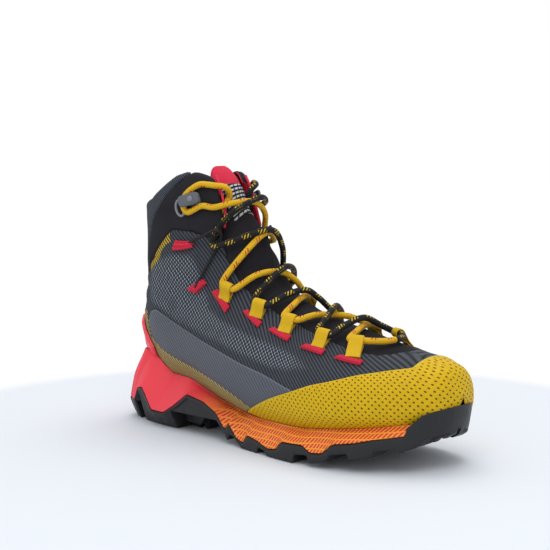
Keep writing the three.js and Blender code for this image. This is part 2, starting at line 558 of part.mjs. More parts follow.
// Webbing folded round the lace, its two ends sewn together under the tab.
function webbingLoop(u, v, tab) {
  const centre = above(u, v, LOOP_LIFT);
  const reach = above(tab[0], tab[1], 2).sub(centre);
  const length = Math.min(reach.length(), TAPE.reach);
  const round = (path, radius, foot) => {
    path.absarc(TAPE.centre, 0, radius, Math.PI / 2, (3 * Math.PI) / 2, false);
    path.lineTo(foot, -radius);
  };
  const outline = new THREE.Shape();
  outline.moveTo(length, TAPE.end[0]);
  outline.lineTo(length, TAPE.end[1]);
  TAPE.outer.forEach((corner) => outline.lineTo(...corner));
  round(outline, TAPE.radius, TAPE.foot[0]);
  const eye = new THREE.Path();
  eye.moveTo(...TAPE.inner[0]);
  eye.lineTo(...TAPE.inner[1]);
  round(eye, TAPE.radius - TAPE.thick, TAPE.foot[1]);
  outline.holes.push(eye);
  const strip = new THREE.ExtrudeGeometry(outline, { depth: WEBBING, bevelEnabled: false,
    curveSegments: TAPE.curve });
  strip.translate(0, 0, -WEBBING / 2);
  strip.rotateX(Math.PI / 2);
  return place(strip, centre, normal(u, v), reach);
}

function makeEyelets() {
  for (const [side, sign] of [['lateral', 1], ['medial', -1]]) {
    EYELETS.forEach(({ u, v, tab }, i) => {
      const at = [tab[0], sign * tab[1]];
      add(`lace_loop_${side}_${i + 1}`, webbingLoop(u, sign * v, at), 'yellow');
      add(`anchor_tab_${side}_${i + 1}`, patch(...at, TAB), 'red');
    });
    const [low, high] = ANKLE.tabs;
    const route = [[...low, CORD.tabHeight], ...ANKLE_CORD, [...high, CORD.tabHeight]];
    const loop = cord(route.map(([u, v, t]) => above(u, sign * v, t)), CORD.radius,
      CORD.ankleSteps);
    add(`ankle_loop_${side}`, loop, 'nylon');
    ANKLE.tabs.forEach(([u, v], i) => {
      add(`anchor_tab_${side}_${i + 6}`, patch(u, sign * v, ANKLE_TAB), 'red');
    });
  }
}

function makeHooks() {
  const block = (x, y, low, high) => new THREE.BoxGeometry(x, y, high - low)
    .translate(0, 0, (low + high) / 2);
  for (const [side, sign] of [['lateral', 1], ['medial', -1]]) {
    const origin = above(HOOK.u, sign * HOOK.v, 0);
    const out = normal(HOOK.u, sign * HOOK.v);
    const up = above(HOOK.u + 4, sign * HOOK.v, 0).sub(origin);
    const post = new THREE.CylinderGeometry(HOOK.post, HOOK.post, HOOK.tall, 14)
      .rotateX(Math.PI / 2).translate(0, 0, HOOK.tall / 2 + 1);
    const body = toSolid(block(...HOOK_BASE)).add(toSolid(post)).add(toSolid(block(...HOOK_CAP)));
    add(`hook_${side}`, place(fromSolid(body), origin, out, up), 'hook');
    const rivet = new THREE.CylinderGeometry(RIVET.top, RIVET.bottom, RIVET.thick, 14)
      .rotateX(Math.PI / 2).translate(0, 0, RIVET.height);
    add(`hook_rivet_${side}`, place(rivet, origin, out, up), 'wire');
    const ring = new THREE.TorusGeometry(RING.radius, RING.wire, 6, 18)
      .scale(RING.long, RING.narrow, 1);
    const ringAt = above(HOOK.u + 1, sign * (HOOK.v + RING.behind / ROUND), RING.height);
    add(`hook_ring_${side}`, place(ring, ringAt, normal(HOOK.u + 1, sign * HOOK.v * 1.3), up),
      'wire');
  }
}

// The route of one lace half, from the bar across the toe end to its end inside the boot.
function laceRoute(first, upper) {
  const crossLift = upper ? CROSS_LIFT : LACE_LIFT;
  const midLift = upper ? 5.8 : 3.6;
  const route = LACE_BAR.map(([a, b, c]) => [a, first * b, c]);
  EYELETS.forEach((eyelet, i) => {
    const side = first * (i % 2 ? -1 : 1);
    const between = (crossing) => [0.35 * eyelet.u + 0.65 * crossing, side * eyelet.v * 0.5,
      midLift];
    if (i > 0) route.push(between(CROSSINGS[i - 1]));
    route.push(...throughLoop(eyelet, side), between(CROSSINGS[i]), [CROSSINGS[i], 0, crossLift]);
  });
  const { u, v } = ANKLE;
  route.push([u - 6, -first * (v - 0.02), 5.8], [u - 1, -first * v, 4.2],
    [u + 3.5, -first * (v - 0.014), 4], [u + 6, -first * 0.075, midLift],
    [CROSSINGS[5], 0, crossLift], [225, first * 0.065, midLift + 0.8],
    [229.5, first * 0.108, 4.6]);
  const bend = HOOK.post + LACE_RADIUS + 1.1;
  route.push([HOOK.u - bend - 0.6, first * (HOOK.v - 0.02), HOOK.lift],
    [HOOK.u - bend * 0.7, first * (HOOK.v + (bend * 0.7) / ROUND), HOOK.lift],
    [HOOK.u, first * (HOOK.v + bend / ROUND), HOOK.lift],
    [HOOK.u + bend * 0.7, first * (HOOK.v + (bend * 0.7) / ROUND), HOOK.lift],
    ...TAIL.map(([a, b, c]) => [a, first * b, c]));
  return route.map((p) => (p.isVector3 ? p : above(...p)));
}

// The lace's stretch through a webbing loop, square to the loop.
function throughLoop({ u, v, tab }, side) {
  const centre = above(u, side * v, LOOP_LIFT);
  const reach = above(tab[0], side * tab[1], 2).sub(centre);
  const across = normal(u, side * v).cross(reach).normalize().multiplyScalar(-THROUGH * side);
  return [-1, 0, 1].map((k) => centre.clone().addScaledVector(across, k));
}

function makeLaces() {
  for (const [colour, first] of [['yellow', 1], ['black', -1]]) {
    const route = laceRoute(first, colour === 'black');
    add(`lace_${colour}`, cord(route, LACE_RADIUS, LACE_STEPS), `${colour}_lace`);
    const [before, end] = route.slice(-2);
    const heading = end.clone().sub(before).normalize();
    const tip = new THREE.CylinderGeometry(AGLET.radius, AGLET.radius, AGLET.length, 12)
      .rotateZ(-Math.PI / 2).translate(AGLET.length / 2 + 0.4, 0, 0);
    const out = new THREE.Vector3(0, 0, 1).cross(heading).normalize();
    add(`aglet_${colour}`, place(tip, end, out, heading), 'aglet');
  }
}

// Thin piping along the front edges of the collar.
function makePiping() {
  for (const [side, sign] of [['lateral', 1], ['medial', -1]]) {
    const route = PIPING.us.map((u) => above(u,
      sign * (along(THROAT, u) - PIPING.inset / ROUND), PIPING.height));
    add(`collar_piping_${side}`, cord(route, CORD.radius, CORD.pipingSteps), 'red');
  }
}

makeUpper();
makeTongue();
makeInsole();
makeSole();
makeEyelets();
makeHooks();
makePiping();
makeLaces();

export default boot;
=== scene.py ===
"""A right-foot mountaineering boot, laced. Lengths in this script are in millimetres, and turned
into metres where a mesh is made. The upper's panels all follow one surface, the lasted boot:
surface(u, v), with u from the toe tip up the shaft and v one turn round it (0 on the top centre
line, 0.25 lateral, 0.5 underneath, 0.75 medial)."""
import math

import bmesh
import bpy
import numpy as np
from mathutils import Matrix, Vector


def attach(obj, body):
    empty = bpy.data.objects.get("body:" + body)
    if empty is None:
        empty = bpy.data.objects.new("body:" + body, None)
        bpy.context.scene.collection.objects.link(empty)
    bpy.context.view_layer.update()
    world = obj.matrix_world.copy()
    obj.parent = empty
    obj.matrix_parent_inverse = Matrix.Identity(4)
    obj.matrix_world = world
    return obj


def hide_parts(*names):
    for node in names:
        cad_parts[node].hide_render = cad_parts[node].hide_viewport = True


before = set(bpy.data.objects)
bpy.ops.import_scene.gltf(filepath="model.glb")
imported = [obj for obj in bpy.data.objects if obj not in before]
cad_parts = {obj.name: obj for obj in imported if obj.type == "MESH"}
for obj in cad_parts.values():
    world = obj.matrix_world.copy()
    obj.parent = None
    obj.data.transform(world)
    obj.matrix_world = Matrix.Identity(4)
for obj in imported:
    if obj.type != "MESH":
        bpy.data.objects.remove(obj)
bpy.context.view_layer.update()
MM = 0.001

# ------------------------------------------------------------------ driving shape
# u, top centre line x z, bottom centre line x z, lateral and medial half widths, centre y,
# height fraction of the widest level, upper and lower roundness exponents.
STATIONS = np.array([
    [0, 141, 47, 141, 43, 1, 1, 7, 0.45, 2.0, 2.0],
    [8, 137, 62, 137, 31, 18, 17, 7, 0.44, 2.1, 2.3],
    [20, 126, 69, 126, 26, 29, 27, 6, 0.42, 2.1, 2.5],
    [40, 106, 73, 106, 23, 42, 36, 4, 0.38, 2.1, 2.6],
    [62, 84, 78, 84, 20, 50, 42, 2, 0.34, 2.1, 2.6],
    [86, 60, 84, 57, 16, 51, 44, 1, 0.33, 2.05, 2.6],
    [112, 35, 90, 25, 14, 48, 42, 0, 0.34, 2.0, 2.6],
    [138, 11, 99, -8, 16, 44, 39, -1, 0.36, 2.0, 2.6],
    [162, -7, 112, -42, 22, 40, 36, -1, 0.37, 2.0, 2.5],
    [184, -19, 129, -78, 30, 36, 35, 0, 0.38, 2.0, 2.4],
    [204, -29, 148, -112, 37, 33, 34, 0, 0.4, 2.0, 2.4],
    [222, -38, 166, -134, 66, 33, 33, 0, 0.42, 2.0, 2.3],
    [238, -47, 180, -131, 110, 33, 33, 0, 0.46, 2.1, 2.2],
    [252, -56, 191, -129, 142, 33, 33, 0, 0.48, 2.2, 2.3],
    [268, -68, 203, -132, 172, 34, 34, 0, 0.5, 2.3, 2.4],
])
ROUND = 230   # mm round the surface for one turn of v, near the throat
SEAM = 0.08   # half of the gap between neighbouring panels
SHIFT = np.array([2.5, 3.0, 0.0])   # from the surface's own numbers to the row frame

LAYER = {
    "footbed": (-9.9, -6.9), "lining": (-6.4, -5.4), "padding": (-5.0, -1.9),
    "stiffener": (-2.9, -1.9), "shell": (-1.5, 0.0), "mesh": (-0.9, -0.2), "film": (0.12, 0.6),
    "clip": (1.3, 3.6), "anchor_tab": (0.6, 2.6), "ankle_tab": (0.6, 3.2),
}

# Seams of the upper as curves in the side view, as [x, z] or [z, x] pairs.
TOE_CAP_X_AT_Z = [[10, -30], [21, -13], [33, 12], [39, 25], [47, 47], [52, 60], [56, 75],
                  [61, 91], [64, 106], [66, 118], [80, 121]]
PANEL_TOP = [[-122, 62], [-118, 74], [-111, 84], [-104, 86], [-83, 78], [-54, 69], [-24, 62],
             [-7, 58], [15, 54], [38, 48], [60, 44]]
PANEL_BOTTOM = [[-122, 66], [-114, 63], [-101, 56], [-82, 51], [-57, 46], [-32, 40.5],
                [-10, 33.5], [1, 28], [20, 20]]
COLLAR_SEAM = [[-134, 97], [-124, 108], [-113, 120], [-105, 128], [-98, 135], [-92, 141],
               [-85, 146], [-70, 145], [-56, 141], [-40, 139]]
COLLAR_TOP = [[-140, 163], [-126, 164], [-112, 167], [-102, 173], [-94, 178], [-83, 185],
              [-75, 188], [-67, 188], [-61, 186], [-52, 180]]
ACHILLES_X_AT_Z = [[96, -118], [115, -118], [135, -115], [155, -104], [170, -91], [180, -80],
                   [190, -68]]
THROAT = [[38, -0.04], [42, 0], [46, 0.05], [52, 0.074], [70, 0.086], [90, 0.082],
          [118, 0.077], [156, 0.088], [179, 0.115], [200, 0.12], [213, 0.113], [224, 0.094],
          [245, 0.083], [270, 0.083]]
TONGUE = {"from": 40, "to": 262, "arch": 0.028}   # its rounded top drops by arch * across ** 2
TONGUE_SINK = [[205, 0], [220, 6], [270, 6]]
TONGUE_OVERLAP = 0.032   # how far, in v, the tongue reaches under the sides of the throat
TONGUE_GAP = 9   # between the tongue's edge and the padding
TUCK_EXTRA = 3   # less of that gap where the laces are tucked in
MESH_INSERT = {"from": 216, "to": 242, "half": 0.076}
FRONT_END = 7   # the upper's sheets start this far up from the toe tip

# Pieces inside the upper. Widths underfoot are half widths round the surface.
COUNTER = {"front": -62, "foot": 50, "top": 92}
PUFF = {"back": 96, "foot": 35.5, "to": 36}
BOARD = {"half": 34, "front": 118, "top": 48.5}
SHANK = {"half": 12.5, "front": 72, "to": 200}
FOOTBED = {"half": 44, "front": 124, "to": 212}
CLIP = {"front": -113, "over_foam": 3, "top": 79, "corner": (-110, 53), "slope": 1.25}
PIPING = {"from": 216, "to": 249, "radius": 0.95, "inset": 1.8, "height": -0.7}

# The knit's zones in the side view.
STITCH_TOP = [[-112, 118], [-100, 124], [-84, 128], [-70, 128], [-58, 112], [-48, 92],
              [-35, 85], [-18, 81], [-5, 77], [7, 75], [22, 72], [35, 69], [52, 63]]
STITCH_BOTTOM = [[-112, 92], [-96, 86], [-80, 79], [-60, 75], [-48, 72], [-30, 69], [-13, 65],
                 [5, 62], [20, 59], [37, 59], [52, 61]]
STRIPE_FROM, STRIPE_TO, STRIPE_WIDTH = -112, -87, 7.5
RIB_SLOPE = math.radians(46)   # of the knit's ribs below the horizontal, in the side view
RIB_PITCH = 2.3
TOE_CENTRE = (75, 3)   # middle of the toe's rounding, in plan

# Sole outline in plan, and its side-view profiles.
SOLE_LATERAL = [[-149, -2], [-147, -15], [-140, -25], [-128, -33], [-112, -38], [-90, -41],
                [-60, -42], [-30, -43], [0, -47], [30, -52], [60, -54], [84, -52], [106, -43],
                [122, -31], [130, -24.5], [135.5, -17.5], [139.5, -10], [142, -3],
                [142.9, 4]]
SOLE_MEDIAL = [[-149, 2], [-147, 15], [-140, 25], [-128, 33], [-112, 37], [-90, 38], [-60, 37],
               [-30, 37], [0, 40], [30, 44], [60, 48], [84, 48], [106, 44], [122, 37.5],
               [130, 32.5], [135.5, 27], [139.5, 20.5], [142, 13], [142.9, 8]]
FEATHER_Z = [[-150, 53], [-121, 53], [-117, 50], [-105, 44.5], [-97, 38], [-75, 37.5], [-60, 33],
             [-36, 24.5], [-15, 21], [7, 20.5], [50, 21.5], [80, 25.5], [103, 28.5], [123, 31.5],
             [145, 34]]
FOAM_BOTTOM_Z = [[-150, 15], [-130, 15], [-124, 25], [-116, 27], [-110, 22], [-102, 12],
                 [-88, 12], [-76, 19], [-62, 29], [-45, 26], [-32, 20], [-22, 10], [-18, 15],
                 [-9, 6], [-2, 4], [3, 10], [15, 8], [25, 5], [33, 6], [39, 12], [58, 13],
                 [65, 9], [74, 10], [82, 17], [95, 19], [107, 22], [124, 25], [146, 28]]
TREAD_Z = [[-150, 7], [-142, 1], [-138, 0], [-129, 0], [-128, 17], [-122, 17], [-121, 0],
           [-81, 0], [-80, 15], [-74, 17], [-62, 26], [-46, 22.5], [-33, 16.5], [-28, 12],
           [-22, 6.5], [-20, 3], [-18, 3], [-17, 7], [-10, 6], [-4, 0], [14, 0], [15, 4], [22, 3],
           [24, 0], [50, 0], [51, 6], [62, 7], [64, 2], [78, 6], [80, 10], [92, 12], [93, 8],
           [106, 11], [107, 15], [118, 16], [120, 14], [132, 19], [133, 22], [146, 26]]
GROUND_Z = [[-150, 7], [-142, 1], [-138, 0], [50, 0], [64, 2], [80, 5], [93, 8], [107, 12],
            [120, 14.5], [133, 20], [146, 26]]
BUMPER_TOP = [[124, 30], [127, 33], [131, 38], [135, 40], [145, 43.5]]
LUGS = {"pitch": 17, "slant": 0.45, "turn": -40, "depth": 4.6}   # chevrons; they turn over at x
MIDSOLE_END = 123
HEEL_RAKE = (105, 150)   # -x from which the back of the heel rakes, and where fully
KEEL = {"foam": 16, "rubber": 15.8, "share": 0.55}   # the sole's height under the foot
CUP = 0.9   # how far the cup in the sole stands off the boot surface
LIP = 1.9   # how far the foam's top edge stands out from the upper

# Lacing. Its routes are lists of u, v and height over the surface. An eyelet is the u and v of
# its loop, and those of its tab.
LACE_RADIUS = 2.2
LACE_LIFT = 2.8
LOOP_LIFT = 4.7
CROSS_LIFT = 8.9
EYELETS = [(69, 0.068, (63, 0.121)), (92, 0.084, (91.5, 0.123)), (124, 0.084, (122.5, 0.123)),
           (152, 0.1, (149.5, 0.133)), (183, 0.138, (180.5, 0.166))]
TAB_SHAPE = [(12.5, 0.006), (9.5, -0.007), (-6.5, -0.009), (-6, 0.006)]   # corners about it
CROSSINGS = [82.5, 108, 138, 168, 199, 221]
TAPE = {"width": 9.6, "waist": 1.2, "thick": 0.85, "clearance": 0.75}   # of the loops
ANKLE_BEND = (213, 0.13)   # u, v where a lace turns through the ankle cord
ANKLE_CORD = [(204, 0.192, 2.8), (206, 0.165, 2.4), (210, 0.125, 1.7), (212.5, 0.11, 2.8),
              (216, 0.112, 8.2), (219.5, 0.14, 7), (222.5, 0.163, 3.4), (224.2, 0.179, 1.8)]
ANKLE_CORD_RADIUS = 1.0
ANKLE_TABS = [[(208.7, 0.209), (203.9, 0.175), (199.9, 0.172), (202.1, 0.198)],
              [(228.7, 0.222), (230.9, 0.213), (223.6, 0.169), (220.8, 0.172)]]
FLECK_GROUP = 12
RING = {"up": 5.7, "across": 3.5, "wire": 1.0, "behind": 9.2}   # the wire ring behind a hook
CAP_BACK = 1.6   # how far the hook's cap sits back from its post
HOOK = {"u": 241, "v": 0.155, "post": 2.6, "lift": 4.2}
TAIL = [(246.5, 0.146, 4.3), (246, 0.126, 4.4), (243.5, 0.108, 4.3), (240.5, 0.09, 3.9),
        (237.5, 0.069, 2.6), (234.5, 0.057, -1), (231.5, 0.06, -4), (228, 0.084, -4.8),
        (224, 0.12, -4.8), (219, 0.155, -6.2), (213, 0.179, -9.4), (203, 0.2, -9.8),
        (190, 0.21, -9.8), (176, 0.22, -9.8), (160, 0.225, -9.8)]
SIDES = (("lateral", 1), ("medial", -1))


# ------------------------------------------------------------------ the boot surface
def follow(rows, x):
    """Smooth interpolation of rows [x, ...values], with a finite-difference Hermite curve."""
    x = np.asarray(x, float)
    xs, ys = rows[:, 0], rows[:, 1:]
    chord = np.diff(ys, axis=0) / np.diff(xs)[:, None]
    before, after = np.diff(xs)[:-1, None], np.diff(xs)[1:, None]
    middle = (chord[:-1] * after + chord[1:] * before) / (before + after)
    slope = np.vstack([chord[:1], middle, chord[-1:]])
    i = np.clip(np.searchsorted(xs, x, side="left") - 1, 0, len(xs) - 2)
    width = (xs[i + 1] - xs[i])[..., None]
    t = (x[..., None] - xs[i][..., None]) / width
    return ((2 * t**3 - 3 * t**2 + 1) * ys[i] + (t**3 - 2 * t**2 + t) * width * slope[i]
            + (3 * t**2 - 2 * t**3) * ys[i + 1] + (t**3 - t**2) * width * slope[i + 1])


def along(pairs, x):
    """Straight-line interpolation of [x, value] pairs, held constant past both ends."""
    pairs = np.asarray(pairs, float)
    return np.interp(x, pairs[:, 0], pairs[:, 1])


def surface(u, v):
    """Points of the boot surface, in its own millimetres."""
    values = np.moveaxis(follow(STATIONS, u), -1, 0)
    top_x, top_z, bottom_x, bottom_z, lateral, medial, centre, level, upper, lower = values
    c, s = np.cos(2 * np.pi * v), np.sin(2 * np.pi * v)
    power = 2 / np.where(c >= 0, upper, lower)
    rise, reach = np.sign(c) * abs(c) ** power, np.sign(s) * abs(s) ** power
    height = np.where(rise >= 0, level + (1 - level) * rise, level + level * rise)
    return np.stack([bottom_x + (top_x - bottom_x) * height,
                     centre - reach * np.where(s >= 0, lateral, medial),
                     bottom_z + (top_z - bottom_z) * height], -1)


def normal(u, v):
    """The outward direction of the boot surface."""
    u = np.maximum(u, 0.6)
    du = surface(u + 0.5, v) - surface(u - 0.5, v)
    dv = surface(u, v + 0.01) - surface(u, v - 0.01)
    return unit(np.cross(du, dv))


def above(u, v, height):
    """The points at a given height over the boot surface."""
    u, v = np.asarray(u, float), np.asarray(v, float)
    height = np.asarray(height, float)
    return surface(u, v) + normal(u, v) * height[..., None]


def turn(v):
    """Signed turn of v away from the top centre line, lateral positive: -0.5 to 0.5."""
    return (v + 0.5) % 1 - 0.5


# ------------------------------------------------------------------ regions of the panels
# Each gives about how far, in mm, a point is inside a seam: positive inside.
def throat(u, v):
    return (abs(turn(v)) - along(THROAT, u)) * ROUND


def underfoot(v):
    return (0.5 - abs(turn(v))) * ROUND


def turned_in(v, p):
    return np.maximum(underfoot(v) - 14, p[..., 2] - 50)


def collar_seam(p):
    return (p[..., 2] - along(COLLAR_SEAM, p[..., 0])) * 0.75


def collar_top(p):
    return (along(COLLAR_TOP, p[..., 0]) - p[..., 2]) * 0.8


def toe_cap(p):
    return (p[..., 0] - along(TOE_CAP_X_AT_Z, p[..., 2])) * 0.7


def achilles(p):
    return (along(ACHILLES_X_AT_Z, p[..., 2]) - p[..., 0]) * 0.75


def feather(p):
    return p[..., 2] - along(FEATHER_Z, p[..., 0])


def inside(*values):
    return np.minimum.reduce(np.broadcast_arrays(*values))


def smooth(x, low, high):
    """0 below low, 1 above high, and a smooth rise between them."""
    t = np.clip((x - low) / (high - low), 0, 1)
    return t * t * (3 - 2 * t)


def unit(vectors):
    return vectors / np.linalg.norm(vectors, axis=-1, keepdims=True)


def run_along(path):
    """How far along a path each of its points is."""
    return np.concatenate([[0], np.cumsum(np.linalg.norm(np.diff(path, axis=0), axis=1))])


# ------------------------------------------------------------------ meshes
def new_mesh(name, points, faces, flat=0):
    """A mesh object from points in mm and a list of arrays of triangles or quads. The last
    `flat` faces are shaded flat, the others smooth."""
    mesh = bpy.data.meshes.new(name)
    faces = [np.asarray(f, np.int32) for f in faces]
    corners = np.concatenate([f.ravel() for f in faces])
    sizes = np.concatenate([np.full(len(f), f.shape[1], np.int32) for f in faces])
    mesh.vertices.add(len(points))
    mesh.vertices.foreach_set("co", np.ravel(points).astype(np.float32) * MM)
    mesh.loops.add(len(corners))
    mesh.loops.foreach_set("vertex_index", corners)
    mesh.polygons.add(len(sizes))
    starts = np.concatenate([[0], np.cumsum(sizes)[:-1]])
    mesh.polygons.foreach_set("loop_start", starts.astype(np.int32))
    mesh.update(calc_edges=True)
    shading = np.ones(len(sizes), bool)
    if flat:
        shading[-flat:] = False
    mesh.polygons.foreach_set("use_smooth", shading)
    mesh.validate()
    obj = bpy.data.objects.new(name, mesh)
    bpy.context.scene.collection.objects.link(obj)
    return obj


def store(obj, name, values):
    """Keeps a vector per point on the mesh, for the material to read."""
    attribute = obj.data.attributes.new(name, "FLOAT_VECTOR", "POINT")
    attribute.data.foreach_set("vector", np.asarray(values, np.float32).ravel())


def finish_piece(obj, material, nodes, body="boot"):
    """Gives a piece its material and its body, and hides the CAD nodes that it stands for."""
    obj.data.materials.clear()
    obj.data.materials.append(material)
    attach(obj, body)
    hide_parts(*nodes)


def band_quads(index):
    """The quads between rows of point numbers that close on themselves."""
    right = np.roll(index, -1, axis=1)
    return np.stack([index[:-1], right[:-1], right[1:], index[1:]], -1).reshape(-1, 4)


def skin(name, rings, ends=None, triangles=False):
    """A closed solid through rings of equal point count, each end closed by a fan of triangles
    about a point of `ends`, or about the middle of its ring."""
    count, size, _ = rings.shape
    index = np.arange(count * size).reshape(count, size)
    quads = band_quads(index)
    first, last = count * size, count * size + 1
    caps = np.vstack([np.stack([np.roll(index[0], -1), index[0], np.full(size, first)], -1),
                      np.stack([index[-1], np.roll(index[-1], -1), np.full(size, last)], -1)])
    ends = rings[[0, -1]].mean(1) if ends is None else ends
    faces = [quads[:, [0, 1, 2]], quads[:, [0, 2, 3]]] if triangles else [quads]
    return new_mesh(name, np.vstack([rings.reshape(-1, 3), ends]) + SHIFT, faces + [caps])


def clip_grid(region, step):
    """The surface grid's triangles where region > 0, cut along its edge. Returns u, v, the
    region's value there and the triangles."""
    us = np.concatenate([[0.0, 1.5], np.arange(3.0, 267.5, step)])
    turns = int(ROUND / step / 2) * 2
    u, v = np.meshgrid(us, np.arange(turns) / turns, indexing="ij")
    value = region(u, v, surface(u, v))
    h = 0.25
    near = abs(value) < 0.42 * step
    near[0] = False
    a, b, c = u[near], v[near], value[near]
    for _ in range(2):
        gu = (region(a + h, b, surface(a + h, b)) - c) / h
        gv = (region(a, b + h / ROUND, surface(a, b + h / ROUND)) - c) / h
        size = np.maximum(gu**2 + gv**2, 0.25)
        move = np.clip(c / size, -0.5 * step, 0.5 * step)
        a, b = np.clip(a - move * gu, 0.6, 267.9), b - move * gv / ROUND
        c = region(a, b, surface(a, b))
    u[near], v[near], value[near] = a, b, 0.0
    rows = len(us)
    index = np.arange(rows * turns).reshape(rows, turns)
    index[0] = 0
    quads = band_quads(index)
    triangles = np.vstack([quads[:, [0, 3, 2]], quads[:, [0, 2, 1]]])
    same = ((triangles[:, 0] == triangles[:, 1]) | (triangles[:, 1] == triangles[:, 2])
            | (triangles[:, 0] == triangles[:, 2]))
    triangles = triangles[~same]
    u, v, value = u.ravel(), v.ravel(), value.ravel()
    corner = value[triangles]
    whole = (corner.min(1) >= 0) & (corner.max(1) > 0)
    mixed = (corner.min(1) < 0) & (corner.max(1) > 0)
    kept = [triangles[whole]]
    extra, known, cut_faces = [], {}, []
    for triangle in triangles[mixed]:
        ring = []
        for k in range(3):
            i, j = triangle[k], triangle[(k + 1) % 3]
            if value[i] >= 0:
                ring.append(i)
            if value[i] * value[j] < 0:
                key = (min(i, j), max(i, j))
                if key not in known:
                    known[key] = len(u) + len(extra)
                    t = value[key[0]] / (value[key[0]] - value[key[1]])
                    v1 = v[key[1]] - round(v[key[1]] - v[key[0]])
                    extra.append((u[key[0]] + t * (u[key[1]] - u[key[0]]),
                                  v[key[0]] + t * (v1 - v[key[0]])))
                ring.append(known[key])
        cut_faces += [(ring[0], ring[k], ring[k + 1]) for k in range(1, len(ring) - 1)]
    if cut_faces:
        kept.append(np.array(cut_faces))
    if extra:
        u = np.concatenate([u, [e[0] for e in extra]])
        v = np.concatenate([v, [e[1] for e in extra]])
        value = np.concatenate([value, np.zeros(len(extra))])
    faces = np.concatenate(kept)
    used, faces = np.unique(faces, return_inverse=True)
    return u[used], v[used], value[used], faces.reshape(-1, 3)


def sheet(name, region, layer, step=1.3, lift=None, relief=None, deep=None, edge=0.7):
    """A closed sheet on the boot surface where region > 0, between two depths. relief(u, v, p)
    is added to its outer face only, deep(u, v, p) is taken off its inner face, and its outer
    edge is rounded off over `edge` mm."""
    low, high = layer
    u, v, value, faces = clip_grid(region, step)
    extra = lift(u, v) if lift else 0
    points = surface(u, v)
    outer = high + extra + (relief(u, v, points) if relief else 0)
    if edge:
        rounding = 1 - np.sqrt(np.clip(1 - np.clip(1 - value / edge, 0, 1) ** 2, 0, 1))
        outer = outer - rounding * (high - low) * 0.55
    inner = low + extra - (deep(u, v, points) if deep else 0) + 0 * value
    n = normal(u, v)
    shell = np.vstack([points + n * outer[:, None], points + n * inner[:, None]]) + SHIFT
    count = len(u)
    edges = np.vstack([faces[:, [0, 1]], faces[:, [1, 2]], faces[:, [2, 0]]])
    keys = edges[:, 0].astype(np.int64) * count + edges[:, 1]
    back = edges[:, 1].astype(np.int64) * count + edges[:, 0]
    rim = edges[~np.isin(keys, back)]
    wall = np.stack([rim[:, 1], rim[:, 0], rim[:, 0] + count, rim[:, 1] + count], -1)
    wall = np.vstack([wall[:, [0, 1, 2]], wall[:, [0, 2, 3]]])
    under = faces[:, ::-1] + count
    obj = new_mesh(name, shell, [faces, under, wall], flat=len(wall))
    return obj, u, v, points, value


def tube(name, path, radius, sides=16):
    """A round tube along a path of points, with flat ends, and how far along and how far
    round each of its points is."""
    path = np.asarray(path, float)
    heading = unit(np.gradient(path, axis=0))
    side = unit(np.cross(heading[0], [0.3, 0.2, 1.0]))
    angle = 2 * np.pi * np.arange(sides)[:, None] / sides
    rings = []
    for point, ahead, reach in zip(path, heading, np.broadcast_to(radius, len(path))):
        side = unit(side - ahead * side.dot(ahead))
        other = np.cross(ahead, side)
        rings.append(point + reach * (np.cos(angle) * side + np.sin(angle) * other))
    obj = skin(name, np.stack(rings), path[[0, -1]])
    length = run_along(path)
    ends = len(path) * sides
    place = np.zeros((ends + 2, 3))
    place[:ends, 0] = np.repeat(length, sides)
    place[:ends, 1] = np.tile(np.arange(sides) / sides, len(path))
    place[ends + 1, 0] = length[-1]
    store(obj, "pattern", place)
    return obj, length[-1]


def smooth_curve(points, spacing):
    """A centripetal Catmull-Rom curve through the points, evenly respaced."""
    p = np.asarray(points, float)
    p = np.vstack([2 * p[0] - p[1], p, 2 * p[-1] - p[-2]])
    pieces = []
    for i in range(1, len(p) - 2):
        t = np.cumsum([0] + [max(np.linalg.norm(p[i + k] - p[i + k - 1]), 1e-4) ** 0.5
                             for k in (0, 1, 2)])
        x = np.linspace(t[1], t[2], 24, endpoint=False)[:, None]
        a = [(t[k + 1] - x) / (t[k + 1] - t[k]) * p[i - 1 + k]
             + (x - t[k]) / (t[k + 1] - t[k]) * p[i + k] for k in range(3)]
        b = [(t[k + 2] - x) / (t[k + 2] - t[k]) * a[k]
             + (x - t[k]) / (t[k + 2] - t[k]) * a[k + 1] for k in range(2)]
        pieces.append((t[2] - x) / (t[2] - t[1]) * b[0] + (x - t[1]) / (t[2] - t[1]) * b[1])
    curve = np.vstack(pieces + [p[-2:-1]])
    length = run_along(curve)
    even = np.linspace(0, length[-1], max(2, round(length[-1] / spacing) + 1))
    return np.stack([np.interp(even, length, curve[:, k]) for k in range(3)], -1)


# ------------------------------------------------------------------ materials
RED_CLOTH = ((0.46, 0.018, 0.045), (0.56, 0.028, 0.062))


